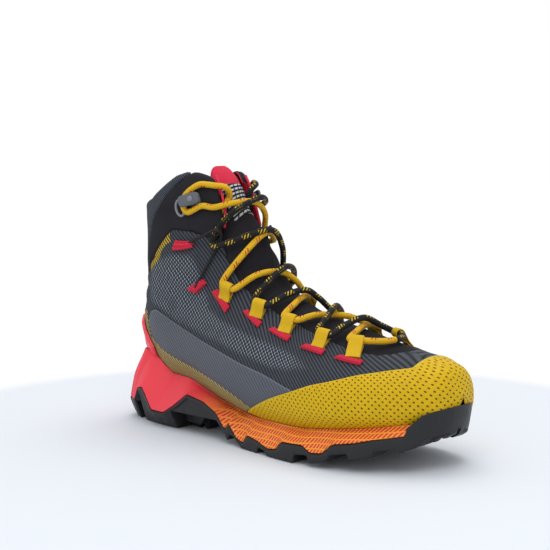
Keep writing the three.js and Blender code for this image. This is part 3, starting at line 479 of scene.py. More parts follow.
class Look:
    """One node-based material. Its methods add nodes and return their output sockets."""

    def __init__(self, name, roughness=0.7, **constants):
        self.material = bpy.data.materials.new(name)
        self.material.use_nodes = True
        self.nodes = self.material.node_tree.nodes
        self.links = self.material.node_tree.links
        self.shader = self.nodes["Principled BSDF"]
        self.shader.inputs["Roughness"].default_value = roughness
        for key, value in constants.items():
            socket = self.shader.inputs[key.replace("_", " ")]
            socket.default_value = (*value, 1) if isinstance(value, tuple) else value
        self.relief = None

    def put(self, socket, value):
        if isinstance(value, bpy.types.NodeSocket):
            self.links.new(value, socket)
        elif isinstance(value, tuple) and socket.type == "RGBA":
            socket.default_value = (*value, 1)
        else:
            socket.default_value = value

    def pattern(self, name="pattern"):
        """The x, y and z of a vector kept on the mesh."""
        node = self.nodes.new("ShaderNodeAttribute")
        node.attribute_name = name
        split = self.nodes.new("ShaderNodeSeparateXYZ")
        self.links.new(node.outputs["Vector"], split.inputs[0])
        return split.outputs

    def math(self, operation, a, b=0.0, c=0.0):
        node = self.nodes.new("ShaderNodeMath")
        node.operation = operation
        for socket, value in zip(node.inputs, (a, b, c)):
            self.put(socket, value)
        return node.outputs[0]

    def times(self, a, b):
        return self.math("MULTIPLY", a, b)

    def plus(self, a, b):
        return self.math("ADD", a, b)

    def most(self, a, b):
        return self.math("MAXIMUM", a, b)

    def rest(self, a):
        return self.math("SUBTRACT", 1.0, a)

    def ramp(self, value, low, high, out_low=0.0, out_high=1.0):
        """value moved smoothly from out_low at low to out_high at high."""
        node = self.nodes.new("ShaderNodeMapRange")
        node.interpolation_type = "SMOOTHSTEP"
        for socket, v in zip(node.inputs, (value, low, high, out_low, out_high)):
            self.put(socket, v)
        return node.outputs[0]

    def close(self, value, none, full):
        """1 where value is within `full` of zero, 0 where it is `none` or more from it."""
        return self.ramp(self.math("ABSOLUTE", value), none, full)

    def wave(self, value, pitch):
        """0 to 1 and back once per pitch."""
        turned = self.times(value, 2 * math.pi / pitch)
        return self.math("MULTIPLY_ADD", self.math("SINE", turned), 0.5, 0.5)

    def cell(self, value, pitch, shift=0.0):
        """Distance from the middle of the cell that value is in, in cells: -0.5 to 0.5."""
        part = self.math("FRACT", self.math("MULTIPLY_ADD", value, 1 / pitch, shift))
        return self.math("SUBTRACT", part, 0.5)

    def skew(self, value, other, share):
        return self.plus(value, self.times(other, share))

    def braid(self, length, round_it, rate, strands):
        """Strands wound both ways round a cord."""
        turns = self.times(round_it, strands)
        return self.most(*(self.wave(self.skew(turns, length, way * rate), 1.0)
                           for way in (1, -1)))

    def noise(self, scale, detail=2.0, stretch=(1, 1, 1)):
        place = self.nodes.new("ShaderNodeTexCoord")
        mapping = self.nodes.new("ShaderNodeMapping")
        mapping.inputs["Scale"].default_value = stretch
        node = self.nodes.new("ShaderNodeTexNoise")
        node.inputs["Scale"].default_value = scale
        node.inputs["Detail"].default_value = detail
        self.links.new(place.outputs["Object"], mapping.inputs["Vector"])
        self.links.new(mapping.outputs["Vector"], node.inputs["Vector"])
        return node.outputs["Fac"]

    def blend(self, factor, a, b):
        node = self.nodes.new("ShaderNodeMix")
        node.data_type = "RGBA"
        self.put(node.inputs[0], factor)
        self.put(node.inputs[6], a)
        self.put(node.inputs[7], b)
        return node.outputs[2]

    def mottle(self, scale, detail, dark, light):
        """A colour that drifts from dark to light."""
        return self.blend(self.noise(scale, detail), dark, light)

    def colour(self, value):
        self.put(self.shader.inputs["Base Color"], value)

    def rough(self, value):
        self.put(self.shader.inputs["Roughness"], value)

    def bump(self, height, depth):
        """Relief of the given depth in mm from a 0 to 1 height, over any relief before it."""
        node = self.nodes.new("ShaderNodeBump")
        node.inputs["Distance"].default_value = depth * MM
        node.inputs["Strength"].default_value = 1.0
        self.links.new(height, node.inputs["Height"])
        if self.relief:
            self.links.new(self.relief, node.inputs["Normal"])
        self.relief = node.outputs[0]
        self.links.new(self.relief, self.shader.inputs["Normal"])


def knit_look():
    """Dark ribs with fine yarn, rows of pale stitches across the middle, a yellow stripe."""
    look = Look("knit", 0.75, Specular_IOR_Level=0.2)
    across, down, _ = look.pattern()
    stitched, stripe, _ = look.pattern("zones")
    rib = look.math("POWER", look.wave(across, RIB_PITCH), 0.7)
    yarn = look.wave(look.skew(down, across, 0.9), 0.9)
    crest = look.mottle(38, 3, (0.056, 0.064, 0.081), (0.088, 0.099, 0.121))
    body = look.blend(rib, (0.006, 0.007, 0.010), crest)
    body = look.blend(look.times(yarn, 0.35), body, (0.02, 0.022, 0.03))
    row = look.cell(look.skew(down, look.noise(26, 2), 5.0), 2.3)
    column = look.cell(across, RIB_PITCH, 0.25)
    dash = look.times(look.close(look.skew(row, column, 0.5), 0.22, 0.12),
                      look.close(column, 0.38, 0.26))
    uneven = look.ramp(look.noise(60, 1), 0.25, 0.5, 0.6, 1)
    pale = look.times(dash, look.times(stitched, uneven))
    body = look.blend(pale, body, (0.30, 0.35, 0.41))
    band = look.ramp(look.wave(across, RIB_PITCH), 0.25, 0.7)
    yellow = look.blend(band, (0.06, 0.045, 0.012), (0.52, 0.36, 0.03))
    look.colour(look.blend(look.ramp(stripe, 0.4, 0.6), body, yellow))
    look.bump(look.skew(rib, pale, 0.5), 0.5)
    look.bump(yarn, 0.12)
    return look.material


def film_look():
    """A thin slate film pressed over fine ribs."""
    look = Look("side_film", 0.5, Specular_IOR_Level=0.35)
    across, _, edge = look.pattern()
    rib = look.math("POWER", look.wave(across, RIB_PITCH), 0.6)
    base = look.mottle(30, 3, (0.074, 0.085, 0.110), (0.090, 0.102, 0.130))
    body = look.blend(rib, look.blend(0.75, base, (0.022, 0.027, 0.038)), base)
    look.colour(look.blend(look.ramp(edge, 1.1, 0.3), body, (0.11, 0.122, 0.15)))
    look.rough(look.ramp(rib, 0, 1, 0.6, 0.42))
    look.bump(rib, 0.16)
    look.bump(look.noise(900, 2), 0.03)
    return look.material


def band_look():
    """Yellow and grey ribs by turns."""
    look = Look("lower_band", 0.7, Specular_IOR_Level=0.2)
    across, down, _ = look.pattern()
    rib, yarn = look.wave(across, RIB_PITCH), look.wave(down, 0.9)
    bright = look.mottle(45, 3, (0.40, 0.31, 0.075), (0.50, 0.39, 0.11))
    dark = look.mottle(45, 3, (0.06, 0.065, 0.055), (0.11, 0.11, 0.09))
    body = look.blend(look.ramp(rib, 0.25, 0.75), dark, bright)
    look.colour(look.blend(look.times(yarn, 0.25), body, (0.10, 0.09, 0.05)))
    look.bump(rib, 0.3)
    look.bump(yarn, 0.08)
    return look.material


def toe_look():
    """Golden film with staggered rows of small slanted perforations."""
    look = Look("toe_cap", 0.58, Specular_IOR_Level=0.15)
    along_row, rows, edge = look.pattern()
    body = look.mottle(24, 3, (0.54, 0.345, 0.004), (0.62, 0.405, 0.006))
    body = look.blend(look.ramp(look.noise(420, 2), 0.35, 0.7, 0, 0.35), body, (0.42, 0.26, 0.006))
    holes = []
    for shift in (0.0, 0.5):
        x = look.cell(look.skew(along_row, rows, 0.06), 3.9, shift)
        y = look.cell(rows, 4.6, shift)
        wide = look.math("POWER", look.times(look.skew(x, y, 0.35), 4.4), 2)
        tall = look.math("POWER", look.times(y, 4.2), 2)
        holes.append(look.ramp(look.math("SQRT", look.plus(wide, tall)), 0.72, 0.38))
    hole = look.times(look.most(*holes), look.ramp(edge, 1.0, 2.2))
    body = look.blend(hole, body, (0.085, 0.045, 0.006))
    look.colour(look.blend(look.ramp(edge, 0.8, 0.3), body, (0.58, 0.43, 0.04)))
    look.bump(look.rest(hole), 0.35)
    look.bump(look.noise(700, 2), 0.06)
    return look.material


def cloth_look(name, dark, light, fine, depth):
    """Smooth stretch cloth: a fine crossed weave and slow changes of tone."""
    look = Look(name, Sheen_Weight=0.15, Sheen_Roughness=0.45, Specular_IOR_Level=0.12)
    look.colour(look.blend(look.ramp(look.noise(22, 3), 0.3, 0.7), dark, light))
    look.rough(look.ramp(look.noise(60, 2), 0.3, 0.7, 0.77, 0.91))
    look.bump(look.noise(fine, 2, (1, 1, 0.5)), depth)
    look.bump(look.noise(fine, 2, (0.5, 0.5, 1)), depth)
    return look.material


def two_cloths(look, place, black):
    """Black cloth where place is 0 and red cloth where it is 1."""
    tone = look.ramp(look.noise(22, 3), 0.3, 0.7)
    look.colour(look.blend(place, look.blend(tone, *black), look.blend(tone, *RED_CLOTH)))


def collar_look():
    """Black stretch cloth outside, red cloth inside."""
    look = Look("softshell", 0.85, Specular_IOR_Level=0.12)
    inner = look.ramp(look.pattern("inner")[0], 0.7, 0.9)
    two_cloths(look, inner, ((0.011, 0.011, 0.014), (0.019, 0.019, 0.023)))
    look.bump(look.noise(1100, 2, (1, 1, 0.5)), 0.06)
    return look.material


def tongue_look():
    """Black cloth, red at the padded top."""
    look = Look("tongue", 0.85, Specular_IOR_Level=0.12)
    across, down, _ = look.pattern()
    two_cloths(look, look.ramp(down, 236, 237), ((0.010, 0.009, 0.012), (0.018, 0.017, 0.021)))
    look.bump(look.times(look.wave(across, 0.9), look.wave(down, 0.9)), 0.15)
    return look.material


def achilles_look():
    """Fine slate ribs."""
    look = Look("achilles", 0.8, Specular_IOR_Level=0.15)
    across, down, _ = look.pattern()
    rib = look.wave(across, 1.5)
    crest = look.mottle(30, 3, (0.085, 0.098, 0.122), (0.068, 0.0784, 0.0976))
    look.colour(look.blend(rib, (0.010, 0.011, 0.014), crest))
    look.bump(rib, 0.25)
    look.bump(look.wave(down, 0.8), 0.05)
    return look.material


def mesh_look():
    """Black open mesh with slanted pale dashes."""
    look = Look("tongue_mesh", 0.75, Specular_IOR_Level=0.15)
    across, down, _ = look.pattern()
    row = look.cell(look.skew(down, across, 0.12), 3.1)
    column = look.cell(look.skew(across, down, 0.45), 5.6, 0.3)
    dash = look.times(look.close(row, 0.3, 0.2), look.close(column, 0.42, 0.34))
    weave = look.times(look.wave(across, 1.0), look.wave(down, 1.0))
    body = look.blend(weave, (0.008, 0.008, 0.01), (0.035, 0.036, 0.04))
    look.colour(look.blend(dash, body, (0.50, 0.52, 0.54)))
    look.bump(look.plus(weave, dash), 0.35)
    return look.material


def midsole_look():
    """Moulded foam, red at the heel and orange from the arch on, dashed rows forward."""
    look = Look("midsole", 0.55, Specular_IOR_Level=0.4)
    forward, depth, fade = look.pattern()
    tone = look.noise(16, 3)
    red = look.blend(tone, (0.72, 0.034, 0.055), (0.78, 0.044, 0.068))
    orange = look.blend(tone, (0.78, 0.25, 0.020), (0.84, 0.30, 0.028))
    x = look.cell(look.skew(forward, depth, 0.45), 2.7)
    y = look.cell(look.skew(depth, forward, -0.03), 3.2)
    dash = look.times(look.close(x, 0.32, 0.20), look.close(y, 0.44, 0.34))
    where = look.times(look.ramp(fade, 0.35, 0.8), look.ramp(look.noise(70, 2), 0.2, 0.4))
    dash = look.times(dash, where)
    body = look.blend(dash, look.blend(fade, red, orange), (0.55, 0.022, 0.022))
    look.colour(look.blend(look.ramp(depth, 0.55, 0.15), body, (0.28, 0.02, 0.02)))
    look.rough(look.ramp(tone, 0.3, 0.7, 0.5, 0.62))
    look.bump(look.noise(900, 3), 0.05)
    look.bump(look.rest(dash), 0.18)
    return look.material


def rubber_look():
    """Black rubber with faint scuffs."""
    look = Look("outsole", Specular_IOR_Level=0.3)
    tone = look.noise(26, 4)
    scuff = look.ramp(look.noise(180, 3, (1, 1, 0.4)), 0.45, 0.75)
    share = look.skew(look.times(tone, 0.7), scuff, 0.3)
    look.colour(look.blend(share, (0.011, 0.011, 0.013), (0.022, 0.023, 0.026)))
    look.rough(look.ramp(scuff, 0, 1, 0.48, 0.66))
    look.bump(look.noise(1300, 3), 0.05)
    look.bump(tone, 0.15)
    return look.material


def plastic_look(name, dark, light, roughness=0.45):
    look = Look(name)
    look.colour(look.mottle(40, 3, dark, light))
    look.rough(look.ramp(look.noise(120, 3), 0.3, 0.7, roughness - 0.07, roughness + 0.1))
    look.bump(look.noise(800, 2), 0.03)
    return look.material


def webbing_look():
    """Woven tape with lengthwise cords and a tighter edge."""
    look = Look("webbing", 0.72, Specular_IOR_Level=0.2)
    across, lengthwise, _ = look.pattern()
    cords = look.wave(across, 0.9)
    picks = look.wave(look.skew(lengthwise, across, 0.4), 0.8)
    body = look.mottle(60, 2, (0.62, 0.38, 0.008), (0.72, 0.46, 0.012))
    body = look.blend(look.times(look.rest(cords), 0.4), body, (0.34, 0.19, 0.008))
    edge = look.ramp(look.math("ABSOLUTE", across), 4.0, 4.7)
    look.colour(look.blend(look.times(edge, 0.5), body, (0.50, 0.29, 0.03)))
    look.bump(look.times(cords, picks), 0.22)
    return look.material


def tab_look():
    """Crimson patch covered in zigzag stitches."""
    look = Look("anchor_tab", 0.75, Specular_IOR_Level=0.2)
    across, lengthwise, _ = look.pattern()
    zigzag = look.plus(across, look.math("PINGPONG", lengthwise, 0.6))
    thread = look.close(look.cell(zigzag, 1.3), 0.42, 0.18)
    body = look.mottle(50, 2, (0.42, 0.010, 0.030), (0.50, 0.014, 0.040))
    look.colour(look.blend(thread, body, (0.64, 0.024, 0.055)))
    look.bump(thread, 0.3)
    return look.material


def lace_look(name, dark, light, fleck, share):
    """A braided cord. Slanted flecks cover a share of every FLECK_GROUP of its length."""
    look = Look(name, 0.68, Specular_IOR_Level=0.2)
    length, round_it, _ = look.pattern()
    strand = look.braid(length, round_it, 1 / 1.5, 6)
    body = look.mottle(70, 2, dark, light)
    body = look.blend(look.times(look.rest(strand), 0.5), body, tuple(0.5 * x for x in dark))
    here = look.close(look.cell(length, FLECK_GROUP), 0.5 * share, 0.5 * share - 0.03)
    mark = look.times(look.close(look.cell(look.skew(length, round_it, 8.0), 2.4), 0.24, 0.14),
                      look.close(look.cell(round_it, 0.5), 0.26, 0.18))
    look.colour(look.blend(look.times(here, mark), body, fleck))
    look.bump(strand, 0.35)
    return look.material


def cord_look(name, dark, light):
    """A fine braid."""
    look = Look(name, 0.7, Specular_IOR_Level=0.2)
    length, round_it, _ = look.pattern()
    strand = look.braid(length, round_it, 0.9, 4)
    look.colour(look.blend(strand, dark, light))
    look.bump(strand, 0.2)
    return look.material


def floor_look():
    """A pale round table top on an endless white floor."""
    look = Look("floor", 0.9, Specular_IOR_Level=0.1)
    place = look.nodes.new("ShaderNodeTexCoord")
    away = look.nodes.new("ShaderNodeVectorMath")
    away.operation = "LENGTH"
    look.links.new(place.outputs["Object"], away.inputs[0])
    beyond = look.ramp(away.outputs["Value"], 0.285, 0.325)
    look.colour(look.blend(beyond, (0.66, 0.695, 0.745), (0.0, 0.0, 0.0)))
    look.put(look.shader.inputs["Emission Strength"], beyond)
    look.shader.inputs["Emission Color"].default_value = (1, 1, 1, 1)
    return look.material


# ------------------------------------------------------------------ laces
def through_loop(u, v, tab, side):
    """A lace's stretch through a webbing loop, square to the loop."""
    centre = above(u, side * v, LOOP_LIFT)
    reach = above(tab[0], side * tab[1], 2.0) - centre
    across = -5 * side * unit(np.cross(normal(u, side * v), reach))
    return [centre + k * across for k in (-1, 0, 1)]


def lace_route(first, cross_lift, middle_lift):
    """The route of one half of the lacing, from the bar at the toe end to its end inside."""
    route = [above(56, first * 0.0012, LACE_LIFT), above(57.5, first * 0.032, LACE_LIFT + 0.4)]
    for i, (u, v, tab) in enumerate(EYELETS):
        side = -first if i % 2 else first
        before, after = (above(0.35 * u + 0.65 * crossing, side * v * 0.5, middle_lift)
                         for crossing in (CROSSINGS[i - 1], CROSSINGS[i]))
        route += [before] if i > 0 else []
        route += [*through_loop(u, v, tab, side), after, above(CROSSINGS[i], 0, cross_lift)]
    u, v = ANKLE_BEND
    route += [above(u - 6, -first * (v - 0.02), 5.8), above(u - 1, -first * v, 4.2),
              above(u + 3.5, -first * (v - 0.014), 4), above(u + 6, -first * 0.075, middle_lift),
              above(CROSSINGS[5], 0, cross_lift), above(225, first * 0.065, middle_lift + 0.8),
              above(229.5, first * 0.108, 4.6)]
    bend = HOOK["post"] + LACE_RADIUS + 1.1
    u, v, lift = HOOK["u"], HOOK["v"], HOOK["lift"]
    route += [above(u - bend - 0.6, first * (v - 0.02), lift),
              above(u - bend * 0.7, first * (v + bend * 0.7 / ROUND), lift),
              above(u, first * (v + bend / ROUND), lift),
              above(u + bend * 0.7, first * (v + bend * 0.7 / ROUND), lift)]
    return route + [above(a, first * b, c) for a, b, c in TAIL]


def make_laces():
    looks = {
        "yellow": lace_look("lace_yellow", (0.66, 0.37, 0.010), (0.78, 0.47, 0.018),
                            (0.42, 0.020, 0.022), 0.5),
        "black": lace_look("lace_black", (0.009, 0.009, 0.011), (0.019, 0.019, 0.022),
                           (0.62, 0.42, 0.02), 0.55),
    }
    tip_look = plastic_look("aglet", (0.012, 0.012, 0.013), (0.03, 0.03, 0.03), 0.3)
    halves = (("yellow", 1, LACE_LIFT, 3.6), ("black", -1, CROSS_LIFT, 5.8))
    for colour, first, cross_lift, middle_lift in halves:
        path = smooth_curve(lace_route(first, cross_lift, middle_lift), 1.2)
        obj, length = tube(f"lace_{colour}_cord", path, LACE_RADIUS)
        finish_piece(obj, looks[colour], [f"lace_{colour}"])
        heading = unit(path[-1] - path[-2])
        along_it = np.array([0.4, 0.6, 1.2, 2.4, 2.8, 3.2, 4.4, 8, 12, 13.6, 14.2, 14.4])
        radii = np.array([1.5, 1.8, 1.9, 1.9, 1.75, 1.9, 1.9, 1.9, 1.9, 1.85, 1.6, 1.2])
        tip, _ = tube(f"aglet_{colour}_tip", path[-1] + along_it[:, None] * heading, radii)
        finish_piece(tip, tip_look, [f"aglet_{colour}"])


# ------------------------------------------------------------------ the upper
def inwards(u, p):
    """How far a point is in from the outline of the foot, seen from above."""
    widest = surface(u, np.where(p[..., 1] < 0, 0.25, 0.75)) - [*TOE_CENTRE, 0]
    x, y = p[..., 0] - TOE_CENTRE[0], p[..., 1] - TOE_CENTRE[1]
    outermost = np.where(x > 0, np.hypot(widest[..., 0], widest[..., 1]), abs(widest[..., 1]))
    return outermost - np.where(x > 0, np.hypot(x, y), abs(y))


def ribs_at(u, v, p):
    """How far a point is across the knit's ribs, and how far down along them."""
    x, z = p[..., 0], p[..., 2]
    over = 0.8 * np.maximum(0, inwards(u, p)) * (abs(turn(v)) < 0.25) * smooth(-u, -150, -90)
    high = z + over
    return (x * math.sin(RIB_SLOPE) + high * math.cos(RIB_SLOPE),
            x * math.cos(RIB_SLOPE) - high * math.sin(RIB_SLOPE))


def panel(name, region, layer, look, slot=None, body="boot", place=None, **options):
    """A sheet piece that stands for the node of its name, with its pattern kept on the mesh."""
    obj, u, v, p, value = sheet(f"{name}_skin", region, layer, **options)
    across, down = (place or ribs_at)(u, v, p)
    store(obj, "pattern", np.tile(np.stack([across, down, value], -1), (2, 1)))
    finish_piece(obj, look, [name], body)
    return obj, p


def side_only(region, side):
    """The part of a region on one side of the boot, 1 lateral and -1 medial."""
    return lambda u, v, p: inside(region(u, v, p), side * turn(v) * ROUND)


def lip(u, v, p):
    """How much deeper the collar's skin goes where it rolls over the padding."""
    return 3.7 * (1 - smooth(collar_top(p), 1.0, 2.8))


def collar_relief(u, v, p):
    """The collar swells between its seam and its rolled rim."""
    swell = smooth(collar_seam(p), 0, 9) * smooth(collar_top(p), 2, 12)
    return 0.9 * swell - 1.8 * (1 - smooth(collar_top(p), 0, 3.2)) ** 2


def knit(u, v, p):
    return inside(throat(u, v), -collar_seam(p) - SEAM, turned_in(v, p), u - FRONT_END)


def toe_region(u, v, p):
    return inside(toe_cap(p) - SEAM, feather(p) + 6, throat(u, v) - 2, underfoot(v) - 26)


def lower_band(u, v, p):
    x, z = p[..., 0], p[..., 2]
    behind_heel = inside(-117 - x, 84 - z)
    return inside(-toe_cap(p) - SEAM, feather(p) + 12,
                  np.maximum(along(PANEL_BOTTOM, x) - z - SEAM, behind_heel))


def achilles_region(u, v, p):
    return inside(collar_seam(p) - SEAM, collar_top(p), achilles(p) - SEAM,
                  np.where(p[..., 0] < -60, 9, -9))


def side_panel(u, v, p):
    x, z = p[..., 0], p[..., 2]
    return inside(along(PANEL_TOP, x) - z, z - along(PANEL_BOTTOM, x) - SEAM,
                  -toe_cap(p) - SEAM, x + 116, throat(u, v))


def collar(u, v, p):
    return inside(throat(u, v), collar_seam(p) - SEAM, collar_top(p), -achilles(p) - SEAM)


def puckers(u, v, p):
    """Shallow creases of the knit at the ankle."""
    x, z = p[..., 0], p[..., 2]
    place = smooth(z, 84, 94) * smooth(-z, -132, -122) * smooth(-x, 52, 70)
    wave = np.sin(2 * np.pi * (z + 0.45 * x) / 15 + 0.9 * np.sin(x / 10))
    return -0.55 * (1 + wave) * place


def toe_rows(u, v, p):
    """How far a point is round the toe, and how far up or in from its outline."""
    x, y, z = p[..., 0] - TOE_CENTRE[0], p[..., 1] - TOE_CENTRE[1], p[..., 2]
    arc = np.where(x > 0, 45 * np.arctan2(y, np.maximum(x, 1e-6)),
                   np.where(y < 0, -1, 1) * (45 * math.pi / 2 - x))
    return arc, z + 0.8 * inwards(u, p) * np.where(abs(turn(v)) < 0.25, 1, -1)


def knit_zones(p):
    """Where the knit is stitched, and where it has its yellow stripe."""
    x, z = p[..., 0], p[..., 2]
    middle = smooth(np.minimum(along(STITCH_TOP, x) - z, z - along(STITCH_BOTTOM, x)), -1.5, 2.5)
    middle *= smooth(x, -116, -108) * smooth(-x, -56, -46)
    below = -collar_seam(p) / 0.75
    stripe = smooth(STRIPE_WIDTH - below, -0.3, 0.3)
    stripe *= smooth(x, STRIPE_FROM - 0.5, STRIPE_FROM) * smooth(-x, -STRIPE_TO, -STRIPE_TO + 0.5)
    return np.stack([middle, stripe, 0 * z], -1)


def make_upper():
    obj, p = panel("knit_upper", knit, LAYER["shell"], knit_look(), "knit", relief=puckers)
    store(obj, "zones", np.tile(knit_zones(p), (2, 1)))
    panel("toe_cap", toe_region, LAYER["film"], toe_look(), place=toe_rows)
    panel("lower_band", lower_band, LAYER["film"], band_look())
    panel("achilles_panel", achilles_region, LAYER["shell"], achilles_look(), "achilles",
          relief=collar_relief, deep=lip)
    film, shell = film_look(), collar_look()
    for side, sign in SIDES:
        panel(f"side_panel_{side}", side_only(side_panel, sign), LAYER["film"], film, "side_film")
        obj, p = panel(f"collar_{side}", side_only(collar, sign), LAYER["shell"], shell,
                       "softshell", relief=collar_relief, deep=lip)
        inner = np.zeros((2 * len(p), 3))
        inner[len(p):] = 1
        store(obj, "inner", inner)


def clear_of_tongue(u, v):
    """How far a point is from where the tongue lies and is tucked in."""
    room = TONGUE_GAP + TONGUE_OVERLAP * ROUND
    return throat(u, v) - room - TUCK_EXTRA * np.exp(-((u - 218) / 10) ** 2)


def make_inside():
    foam = cloth_look("padding", (0.05, 0.05, 0.055), (0.08, 0.08, 0.085), 700, 0.1)
    red = cloth_look("lining", *RED_CLOTH, 800, 0.12)
    stiff = plastic_look("stiffener", (0.5, 0.48, 0.44), (0.62, 0.60, 0.56), 0.6)
    board = cloth_look("board", (0.5, 0.42, 0.28), (0.6, 0.5, 0.36), 500, 0.1)
    black = plastic_look("shank", (0.015, 0.015, 0.017), (0.03, 0.03, 0.03))
    bed = cloth_look("footbed", (0.02, 0.02, 0.024), (0.035, 0.036, 0.042), 600, 0.2)
    pieces = [
        ("collar_padding", "padding", foam, "padding", {"step": 2.2}, lambda u, v, p: inside(
            clear_of_tongue(u, v), collar_seam(p) - 6, collar_top(p) - 3)),
        ("lining", "lining", red, None, {"step": 1.8}, lambda u, v, p: inside(
            np.maximum(38 - u, clear_of_tongue(u, v)), collar_top(p) - 0.5, u - FRONT_END)),
        ("heel_counter", "stiffener", stiff, "stiffener", {}, lambda u, v, p: inside(
            COUNTER["front"] - p[..., 0], COUNTER["top"] - p[..., 2],
            p[..., 2] - COUNTER["foot"])),
        ("toe_puff", "stiffener", stiff, "stiffener", {}, lambda u, v, p: inside(
            p[..., 0] - PUFF["back"], underfoot(v) - PUFF["foot"], PUFF["to"] - u,
            u - FRONT_END)),
        ("lasting_board", "stiffener", board, "board", {}, lambda u, v, p: inside(
            BOARD["half"] - underfoot(v), BOARD["front"] - p[..., 0], BOARD["top"] - p[..., 2])),
        ("shank", "shell", black, None, {}, lambda u, v, p: inside(
            SHANK["half"] - underfoot(v), SHANK["front"] - p[..., 0], SHANK["to"] - u)),
        ("footbed", "footbed", bed, None, {"step": 1.8, "edge": 1.8}, lambda u, v, p: inside(
            FOOTBED["half"] - underfoot(v), FOOTBED["front"] - p[..., 0], FOOTBED["to"] - u)),
    ]
    for name, layer, look, slot, options, region in pieces:
        panel(name, region, LAYER[layer], look, slot, **{"step": 2.5, **options})


def tongue_side(u, v):
    return TONGUE_OVERLAP * ROUND - throat(u, v)


def tongue_top(u, v):
    return TONGUE["to"] - TONGUE["arch"] * (turn(v) * ROUND) ** 2 - u


def quilt(u, v, p):
    """The tongue's soft swell and its creases at the ankle."""
    soft = 1.1 * smooth(inside(tongue_side(u, v), tongue_top(u, v)), 1, 9)
    folds = np.sin(2 * np.pi * u / 17 + 1.4 * np.sin(turn(v) * 22))
    return soft - 0.55 * (1 + folds) * smooth(u, 120, 150) * smooth(-u, -216, -206)


def make_tongue():
    options = {"body": "tongue", "lift": lambda u, v: -along(TONGUE_SINK, u),
               "place": lambda u, v, p: (turn(v) * ROUND, u)}
    panel("tongue",
          lambda u, v, p: inside(tongue_side(u, v), u - TONGUE["from"], tongue_top(u, v)),
          LAYER["padding"], tongue_look(), edge=1.4, relief=quilt, **options)
    panel("tongue_lining",
          lambda u, v, p: inside(tongue_side(u, v) - 1, u - TONGUE["from"] - 2,
                                 tongue_top(u, v) - 0.6),
          LAYER["lining"], cloth_look("tongue_lining", *RED_CLOTH, 800, 0.12), "lining",
          step=1.8, **options)
    panel("tongue_mesh",
          lambda u, v, p: inside((MESH_INSERT["half"] - abs(turn(v))) * ROUND,
                                 u - MESH_INSERT["from"], MESH_INSERT["to"] - u),
          LAYER["mesh"], mesh_look(), **options)


# ------------------------------------------------------------------ the sole
def profile(rows, x, soft=0.7):
    """A side-view profile at x with its corners rounded off over about 2 * soft."""
    return sum(along(rows, x + k * soft) for k in (-1, -0.5, 0, 0.5, 1)) / 5


def lean(points):
    """The back of the heel rakes forward towards its top, and the toe back to its foot."""
    x, y, z = np.moveaxis(np.array(points, float), -1, 0)
    heel = smooth(-x, *HEEL_RAKE) * (np.maximum(0, z - 12) * 0.2 + 5 * smooth(z, 30, 54))
    toe = smooth(x, 118, 143) * np.maximum(0, 43 - z) * 0.2
    return np.stack([x + heel - toe, y, z], -1)


def feather_line(side):
    """The places x, y on the upper along the feather edge of one side, from heel to toe."""
    u, v = np.meshgrid(np.arange(20.0, 222.0, 2.0), np.linspace(0.2, 0.5, 90) * side,
                       indexing="ij")
    p = surface(u, v)
    high = p[..., 2] - along(FEATHER_Z, p[..., 0])
    where = np.clip((high > 0).sum(1), 1, 89)
    rows = np.arange(len(where))
    line = p[rows, where][:, :2]
    line = line[(where > 1) & (where < 89)]
    return line[np.argsort(line[:, 0])]


def top_edge(side, x, base):
    """The y of the foam's top edge: it hugs the upper, and closes round the heel."""
    line = feather_line(side)
    raked = x + smooth(-x, *HEEL_RAKE) * 13
    y = np.interp(raked, line[:, 0], line[:, 1]) - side * LIP
    share = smooth(raked, line[0, 0] - 3, line[0, 0] + 6)
    return y * share + base * 0.8 * (1 - share)


def boot_lump():
    """The whole boot as one closed solid, to cut the sole's cup."""
    us = np.arange(2.0, 236.0, 2.5)
    turns = 110
    u, v = np.meshgrid(us, np.arange(turns) / turns, indexing="ij")
    rings = above(u, v, np.full(u.shape, CUP))
    tip = above(0.0, 0.0, CUP)
    index = 1 + np.arange(u.size).reshape(u.shape)
    right = np.roll(index, -1, axis=1)
    quads = np.stack([index[:-1], index[1:], right[1:], right[:-1]], -1).reshape(-1, 4)
    lid = u.size + 1
    fans = np.vstack([np.stack([np.zeros(turns, int), index[0], right[0]], -1),
                      np.stack([index[-1], np.full(turns, lid), right[-1]], -1)])
    points = np.vstack([tip[None], rings.reshape(-1, 3), rings[-1].mean(0)[None]])
    return new_mesh("lump", points + SHIFT, [quads[:, [0, 1, 2]], quads[:, [0, 2, 3]], fans])


def cut(obj, tool, sharp):
    """Cuts the tool's shape out of obj, and keeps the largest body that is left."""
    modifier = obj.modifiers.new("cut", "BOOLEAN")
    modifier.operation, modifier.solver, modifier.object = "DIFFERENCE", "MANIFOLD", tool
    shown = obj.evaluated_get(bpy.context.evaluated_depsgraph_get())
    mesh = bpy.data.meshes.new_from_object(shown)
    obj.modifiers.clear()
    solid = bmesh.new()
    solid.from_mesh(mesh)
    left, bodies = set(solid.verts), []
    while left:
        body, front = set(), [left.pop()]
        while front:
            vertex = front.pop()
            body.add(vertex)
            for edge in vertex.link_edges:
                other = edge.other_vert(vertex)
                if other in left:
                    left.remove(other)
                    front.append(other)
        bodies.append(body)
    bodies.sort(key=len)
    for body in bodies[:-1]:
        bmesh.ops.delete(solid, geom=list(body), context="VERTS")
    bmesh.ops.triangulate(solid, faces=list(solid.faces))
    solid.to_mesh(mesh)
    solid.free()
    mesh.polygons.foreach_set("use_smooth", np.ones(len(mesh.polygons), bool))
    mesh.set_sharp_from_angle(angle=math.radians(sharp))
    obj.data = mesh
    return obj


def coordinates(obj):
    """The piece's points in the surface's own millimetres."""
    out = np.empty(3 * len(obj.data.vertices))
    obj.data.vertices.foreach_get("co", out)
    return out.reshape(-1, 3) / MM - SHIFT


